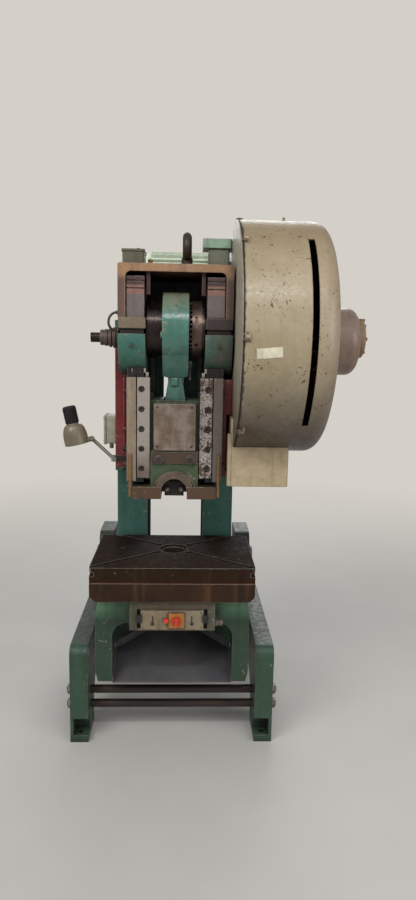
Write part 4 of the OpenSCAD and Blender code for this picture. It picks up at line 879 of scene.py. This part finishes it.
class PRESS_OT_rod_fittings(PressOperator):
    """Model the plugs of the strap, the locking rod beside it and the ends of the ways"""

    bl_idname = "press.rod_fittings"
    bl_label = "Rod Fittings"

    def make(self, scene):
        metal("way steel", (0.42, 0.4, 0.36), (0.14, 0.11, 0.085), metallic=0.3, roughness=0.35,
              blotch=0.4, dirt_and_shade=0.4)
        low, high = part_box("strap")
        radius = (high[1] - low[1]) / 2
        middle = Vector((0, (low[1] + high[1]) / 2, high[2] - radius))
        body = drum(192, radius + 0.0003, 0.2, middle)
        plugs = []
        for side in (-1, 1):
            plug = turned([(0, 0.0106), (0.12, 0.0106)],
                          middle + Vector((0, side * PLUG_Y, 0.03)), (0, 0, 1), 40)
            modify("BOOLEAN", operation="INTERSECT", object=body, solver="EXACT")
            plugs.append(plug)
        assemble("strap_plugs", "pitman", "strap paint", plugs)
        deselect()
        body.select_set(True)
        bpy.ops.object.delete()
        thread = [(0, 0.004)]
        for count in range(22):
            z = 0.0015 + count * 0.0031
            thread += [(z + rise, wide) for rise, wide in
                       ((0, 0.0045), (0.0008, 0.0058), (0.0016, 0.0058), (0.0024, 0.0045))]
        rod = turned(thread, (0.057, -0.36, 1.497), (0, 0, 1), 20)
        lug = block((0.0485, -0.371, 1.5565), (0.065, -0.349, 1.57), 0.0015)
        lock = nut((0.057, -0.36, 1.5475), (0, 0, 1), 0.0175, 0.0085)
        assemble("locking_rod", "pitman", "fastener steel", [rod, lug, lock])
        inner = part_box("guide_liners")[1][0]
        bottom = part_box("gib_plate_left")[1][2] + 0.001
        front, back = -0.4172, -0.4102
        ends = []
        for side in (-1, 1):
            for reach, top in ((0.018, 1.5265), (0.0076, 1.552)):
                left, right = sorted((side * (inner - reach), side * (inner + 0.0004)))
                ends.append(block((left, front, bottom), (right, back, top)))
        assemble("way_ends", "frame", "way steel", ends)


class PRESS_OT_lamp_fittings(PressOperator):
    """Model the ribbed black sleeve of the work lamp and its bulb"""

    bl_idname = "press.lamp_fittings"
    bl_label = "Lamp Fittings"

    def make(self, scene):
        pitch = scene.press_sizes.rib
        lean = math.radians(12)
        axis = Vector((-math.sin(lean), 0, math.cos(lean)))
        middle = Vector((-0.38547, -0.3783, 1.24957))
        ribs = [(0.075, 0.0243), (0.075, 0.0255)]
        for count in range(9):
            z = 0.0775 + count * pitch
            ribs += [(z, 0.0255), (z + 0.0006, 0.0268), (z + pitch * 0.55, 0.0268),
                     (z + pitch * 0.65, 0.0255)]
        ribs += [(0.135, 0.0255), (0.1395, 0.0238), (0.142, 0.018), (0.1425, 0.007)]
        plastic("sleeve bakelite", (0.004, 0.003, 0.003), 0.7, 0.2)
        assemble("lamp_sleeve", "lamp_head", "sleeve bakelite",
                 [turned(ribs, middle, axis, 48)], 30)
        bulb = [(0.068, 0.015), (0.05, 0.015), (0.048, 0.0128), (0.04, 0.0145),
                (0.03, 0.0205), (0.021, 0.025), (0.012, 0.027), (0.004, 0.0252),
                (-0.002, 0.02), (-0.006, 0.012), (-0.0075, 0.005)]
        f = Finish("pearl glass")
        cloud = f.noise(f.place, 60, 3)
        f.link("Base Color", f.mix(cloud, (0.62, 0.6, 0.54), (0.74, 0.72, 0.66)))
        f.shader.inputs["Roughness"].default_value = 0.18
        assemble("lamp_bulb", "lamp_head", "pearl glass",
                 [turned([(-z, r) for z, r in bulb], middle, -axis, 40)], 60)


class PRESS_OT_cover_fittings(PressOperator):
    """Model the screws, glands and vents of the boxes and the motor"""

    bl_idname = "press.cover_fittings"
    bl_label = "Cover Fittings"

    def make(self, scene):
        head = scene.press_sizes.screw
        self.screws("panel_screws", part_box("control_panel"), 1, -1, head * 0.85, 0.0085)
        self.screws("switch_box_screws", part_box("switch_box"), 0, -1, head, 0.013, raised=0.024)
        self.screws("terminal_box_screws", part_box("terminal_box"), 2, 1, head, 0.014)
        self.surrounds()
        self.vents()
        self.conduit()

    def screws(self, name, corners, axis, side, head, inset, raised=0.0):
        """A screw at each corner of a cover's outer face."""
        low, high = corners
        a, b = (k for k in range(3) if k != axis)
        direction, spot = [0, 0, 0], [0, 0, 0]
        direction[axis] = side
        spot[axis] = (high if side > 0 else low)[axis] - side * SINK
        spot[a], spot[b] = low[a] + inset, low[b] + inset + raised
        profile = [(0, 1), (0.3, 1), (0.62, 0.78), (0.7, 0.5), (0.7, 0.34), (0.42, 0.3)]
        first = turned([(head * z, head * r) for z, r in profile], spot, direction, 18)
        offsets = []
        for across, up in ((1, 0), (0, 1), (1, 1)):
            offset = [0, 0, 0]
            offset[a] = across * (high[a] - inset - spot[a])
            offset[b] = up * (high[b] - inset - spot[b])
            offsets.append(offset)
        assemble(name, "frame", "fastener steel", shifts(first, offsets))

    def surrounds(self):
        """Frame of the selector plate, collar of the stop button and the box's end gland."""
        low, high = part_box("selector_plate")
        rim = 0.003
        front, gap = low[1] - 0.0012, 0.0002
        left, right, bottom, top = low[0] - rim, high[0] + rim, low[2] - rim, high[2] + rim
        bars = [
            block((x0, front, z0), (x1, high[1], z1), 0.001)
            for x0, x1, z0, z1 in (
                (left, low[0] - gap, bottom, top), (high[0] + gap, right, bottom, top),
                (left, right, high[2] + gap, top), (left, right, bottom, low[2] - gap),
            )
        ]
        painted("selector frame paint", (0.2, 0.05, 0.022), roughness=0.4, cast=0.0001, dirt_and_shade=1.0)
        assemble("selector_frame", "frame", "selector frame paint", bars)
        low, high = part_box("stop_button")
        middle = ((low[0] + high[0]) / 2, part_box("control_panel")[0][1] + SINK,
                  (low[2] + high[2]) / 2)
        collar = turned([(0, 0.0128), (0.0022, 0.0128), (0.0034, 0.0116), (0.0034, 0.0108),
                         (0.0012, 0.0104)], middle, (0, -1, 0), 36)
        assemble("stop_collar", "frame", "fastener steel", [collar])
        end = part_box("control_box")[1]
        gland = [
            nut((end[0] - SINK, -0.53, 0.566), (1, 0, 0), 0.03, 0.01, 0.0012),
            turned([(0.009, 0.0125), (0.016, 0.0125), (0.018, 0.0135), (0.028, 0.013),
                    (0.032, 0.0105), (0.033, 0.006)],
                   (end[0], -0.53, 0.566), (1, 0, 0), 32),
        ]
        assemble("box_gland", "frame", "gib steel", gland)

    def vents(self):
        """Dark grille with rings and bars on the motor's fan cowl."""
        low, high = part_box("motor_end_bell")
        middle = Vector((low[0], (low[1] + high[1]) / 2, (low[2] + high[2]) / 2))
        back = turned([(0, 0.06), (0.001, 0.06), (0.0014, 0.058), (0.0016, 0.012)],
                      middle + Vector((0.0006, 0, 0)), (-1, 0, 0), 48)
        assemble("cowl_back", "frame", "black plastic", [back])
        rings = []
        for radius in (0.017, 0.028, 0.039, 0.05, 0.061):
            deselect()
            bpy.ops.mesh.primitive_torus_add(
                major_radius=radius, minor_radius=0.0017, major_segments=48, minor_segments=10,
                location=middle - Vector((0.0022, 0, 0)), rotation=(0, math.radians(90), 0)
            )
            rings.append(bpy.context.object)
        bar = block(middle + Vector((-0.0036, -0.0025, -0.061)),
                    middle + Vector((-0.0012, 0.0025, 0.061)), 0.0006)
        bars = copies(bar, [about_x(turn, middle.y, middle.z) for turn in (60, 120)])
        hub = turned([(0, 0.014), (0.0032, 0.014), (0.0046, 0.012), (0.005, 0.005)],
                     middle, (-1, 0, 0), 32)
        assemble("cowl_grille", "frame", "motor paint", [*rings, *bars, hub])

    def conduit(self):
        """Bent steel conduit from the terminal box to the motor."""
        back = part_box("terminal_box")[1][1]
        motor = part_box("motor_body")[0][1]
        start = (0.16, back - 0.0105, 1.965)
        end = (0.12, motor + 0.02, 1.972)
        tube = pipe([start, (0.159, back + 0.03, 1.963), (0.142, (back + motor) / 2, 1.962),
                     (0.123, motor - 0.01, 1.969), end], 0.0085, 16)
        joints = [
            nut((start[0], back - 0.0105, start[2]), (0, 1, 0), 0.028, 0.011, 0.001),
            turned([(0, 0.0115), (0.01, 0.0115), (0.013, 0.0095)],
                   (end[0], motor + 0.004, end[2]), (0, -1, 0), 24),
        ]
        assemble("motor_conduit", "frame", "black steel", [tube, *joints])


class PRESS_OT_stage(PressOperator):
    """Pale floor that fades into the wall, soft lamps and the camera"""

    bl_idname = "press.stage"
    bl_label = "Stage"

    def make(self, scene):
        deselect()
        bpy.ops.mesh.primitive_plane_add(size=30, location=(0, 0, 0))
        floor = bpy.context.object
        floor.name = "floor"
        f = Finish("floor")
        pale = f.mix(f.noise(f.place, 3, 4), (0.5, 0.48, 0.45), (0.56, 0.54, 0.5))
        away = f.add("VectorMath", {0: f.place}, operation="LENGTH").outputs["Value"]
        seen = f.add("LightPath").outputs["Is Camera Ray"]
        haze = f.times(f.steps(away, *HAZE), seen)
        f.link("Base Color", f.mix(haze, pale, (0, 0, 0)))
        f.link("Specular IOR Level", f.scaled(haze, -0.5, 0.5))
        f.link("Emission Strength", haze)
        f.shader.inputs["Emission Color"].default_value = WALL
        f.shader.inputs["Roughness"].default_value = 0.7
        floor.data.materials.append(f.material)
        self.sky(scene)
        self.lamp("key", (-2.6, -3.4, 4.2), (0, -0.2, 1.2), 120, 2.4)
        self.lamp("fill", (3.2, -3.0, 2.4), (0.1, -0.2, 1.1), 55, 2.6)
        self.lamp("strip", (0.3, -2.6, 3.6), (0.1, -0.3, 1.7), 28, 1.6, 0.25)
        self.lamp("rear", (0.5, 4.0, 3.4), (0, 0, 1.2), 85, 2.6)
        camera = bpy.data.objects.new("camera", bpy.data.cameras.new("camera"))
        scene.collection.objects.link(camera)
        camera.data.sensor_width = 36
        camera.data.lens = FOCAL * camera.data.sensor_width / PICTURE
        camera.data.clip_end = 60
        turn = (
            Matrix.Rotation(math.radians(YAW), 4, "Z")
            @ Matrix.Rotation(math.radians(90 - DIP), 4, "X")
            @ Matrix.Rotation(math.radians(ROLL), 4, "Z")
        )
        camera.matrix_world = Matrix.Translation(CAMERA) @ turn
        scene.camera = camera
        scene.view_settings.view_transform = "Standard"

    def sky(self, scene):
        """A plain grey sky, which the camera alone sees as a pale wall."""
        world = bpy.data.worlds.new("studio")
        scene.world = world
        world.use_nodes = True
        net = Net(world.node_tree)
        back = net.tree.nodes["Background"]
        back.inputs["Color"].default_value = (0.86, 0.87, 0.9, 1)
        back.inputs["Strength"].default_value = 0.42
        wall = net.add("Background", {"Color": WALL, "Strength": 1.0})
        seen = net.add("LightPath").outputs["Is Camera Ray"]
        shown = net.add("MixShader", {0: seen, 1: back.outputs[0], 2: wall.outputs[0]})
        net.tree.links.new(shown.outputs[0], net.tree.nodes["World Output"].inputs["Surface"])

    def lamp(self, name, place, target, power, size, size_y=None):
        """A soft rectangular lamp that faces a point."""
        lamp = bpy.data.objects.new(name, bpy.data.lights.new(name, "AREA"))
        lamp.data.energy = power
        lamp.data.shape = "RECTANGLE"
        lamp.data.size = size
        lamp.data.size_y = size_y or size
        bpy.context.scene.collection.objects.link(lamp)
        aim = (Vector(target) - Vector(place)).to_track_quat("-Z", "Y")
        lamp.matrix_world = Matrix.Translation(place) @ aim.to_matrix().to_4x4()


class PRESS_PT_looks(bpy.types.Panel):
    """Lists the press's operators and settings"""

    bl_label = "Stamping Press"
    bl_idname = "PRESS_PT_looks"
    bl_space_type = "VIEW_3D"
    bl_region_type = "UI"
    bl_category = "Stamping Press"

    def draw(self, context):
        layout = self.layout
        for operator in OPERATORS:
            layout.operator(operator.bl_idname)
        for settings in (context.scene.press_paints, context.scene.press_sizes,
                         context.scene.press_wear):
            box = layout.box()
            for key in settings.bl_rna.properties.keys():
                if key not in {"rna_type", "name"}:
                    box.prop(settings, key)


OPERATORS = (
    PRESS_OT_finish_frame,
    PRESS_OT_finish_crown,
    PRESS_OT_finish_guard,
    PRESS_OT_finish_table,
    PRESS_OT_finish_drive,
    PRESS_OT_finish_controls,
    PRESS_OT_guard_fittings,
    PRESS_OT_pipework,
    PRESS_OT_rod_fittings,
    PRESS_OT_lamp_fittings,
    PRESS_OT_cover_fittings,
    PRESS_OT_stage,
)
CLASSES = (PressPaints, PressSizes, PressWear, *OPERATORS, PRESS_PT_looks)


def register():
    for cls in CLASSES:
        bpy.utils.register_class(cls)
    bpy.types.Scene.press_paints = PointerProperty(type=PressPaints)
    bpy.types.Scene.press_sizes = PointerProperty(type=PressSizes)
    bpy.types.Scene.press_wear = PointerProperty(type=PressWear)


def unregister():
    del bpy.types.Scene.press_wear
    del bpy.types.Scene.press_sizes
    del bpy.types.Scene.press_paints
    for cls in reversed(CLASSES):
        bpy.utils.unregister_class(cls)


def main():
    """Dress the press."""
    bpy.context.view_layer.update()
    register()
    for operator in OPERATORS:
        group, name = operator.bl_idname.split(".")
        getattr(getattr(bpy.ops, group), name)()


if __name__ == "__main__":
    main()
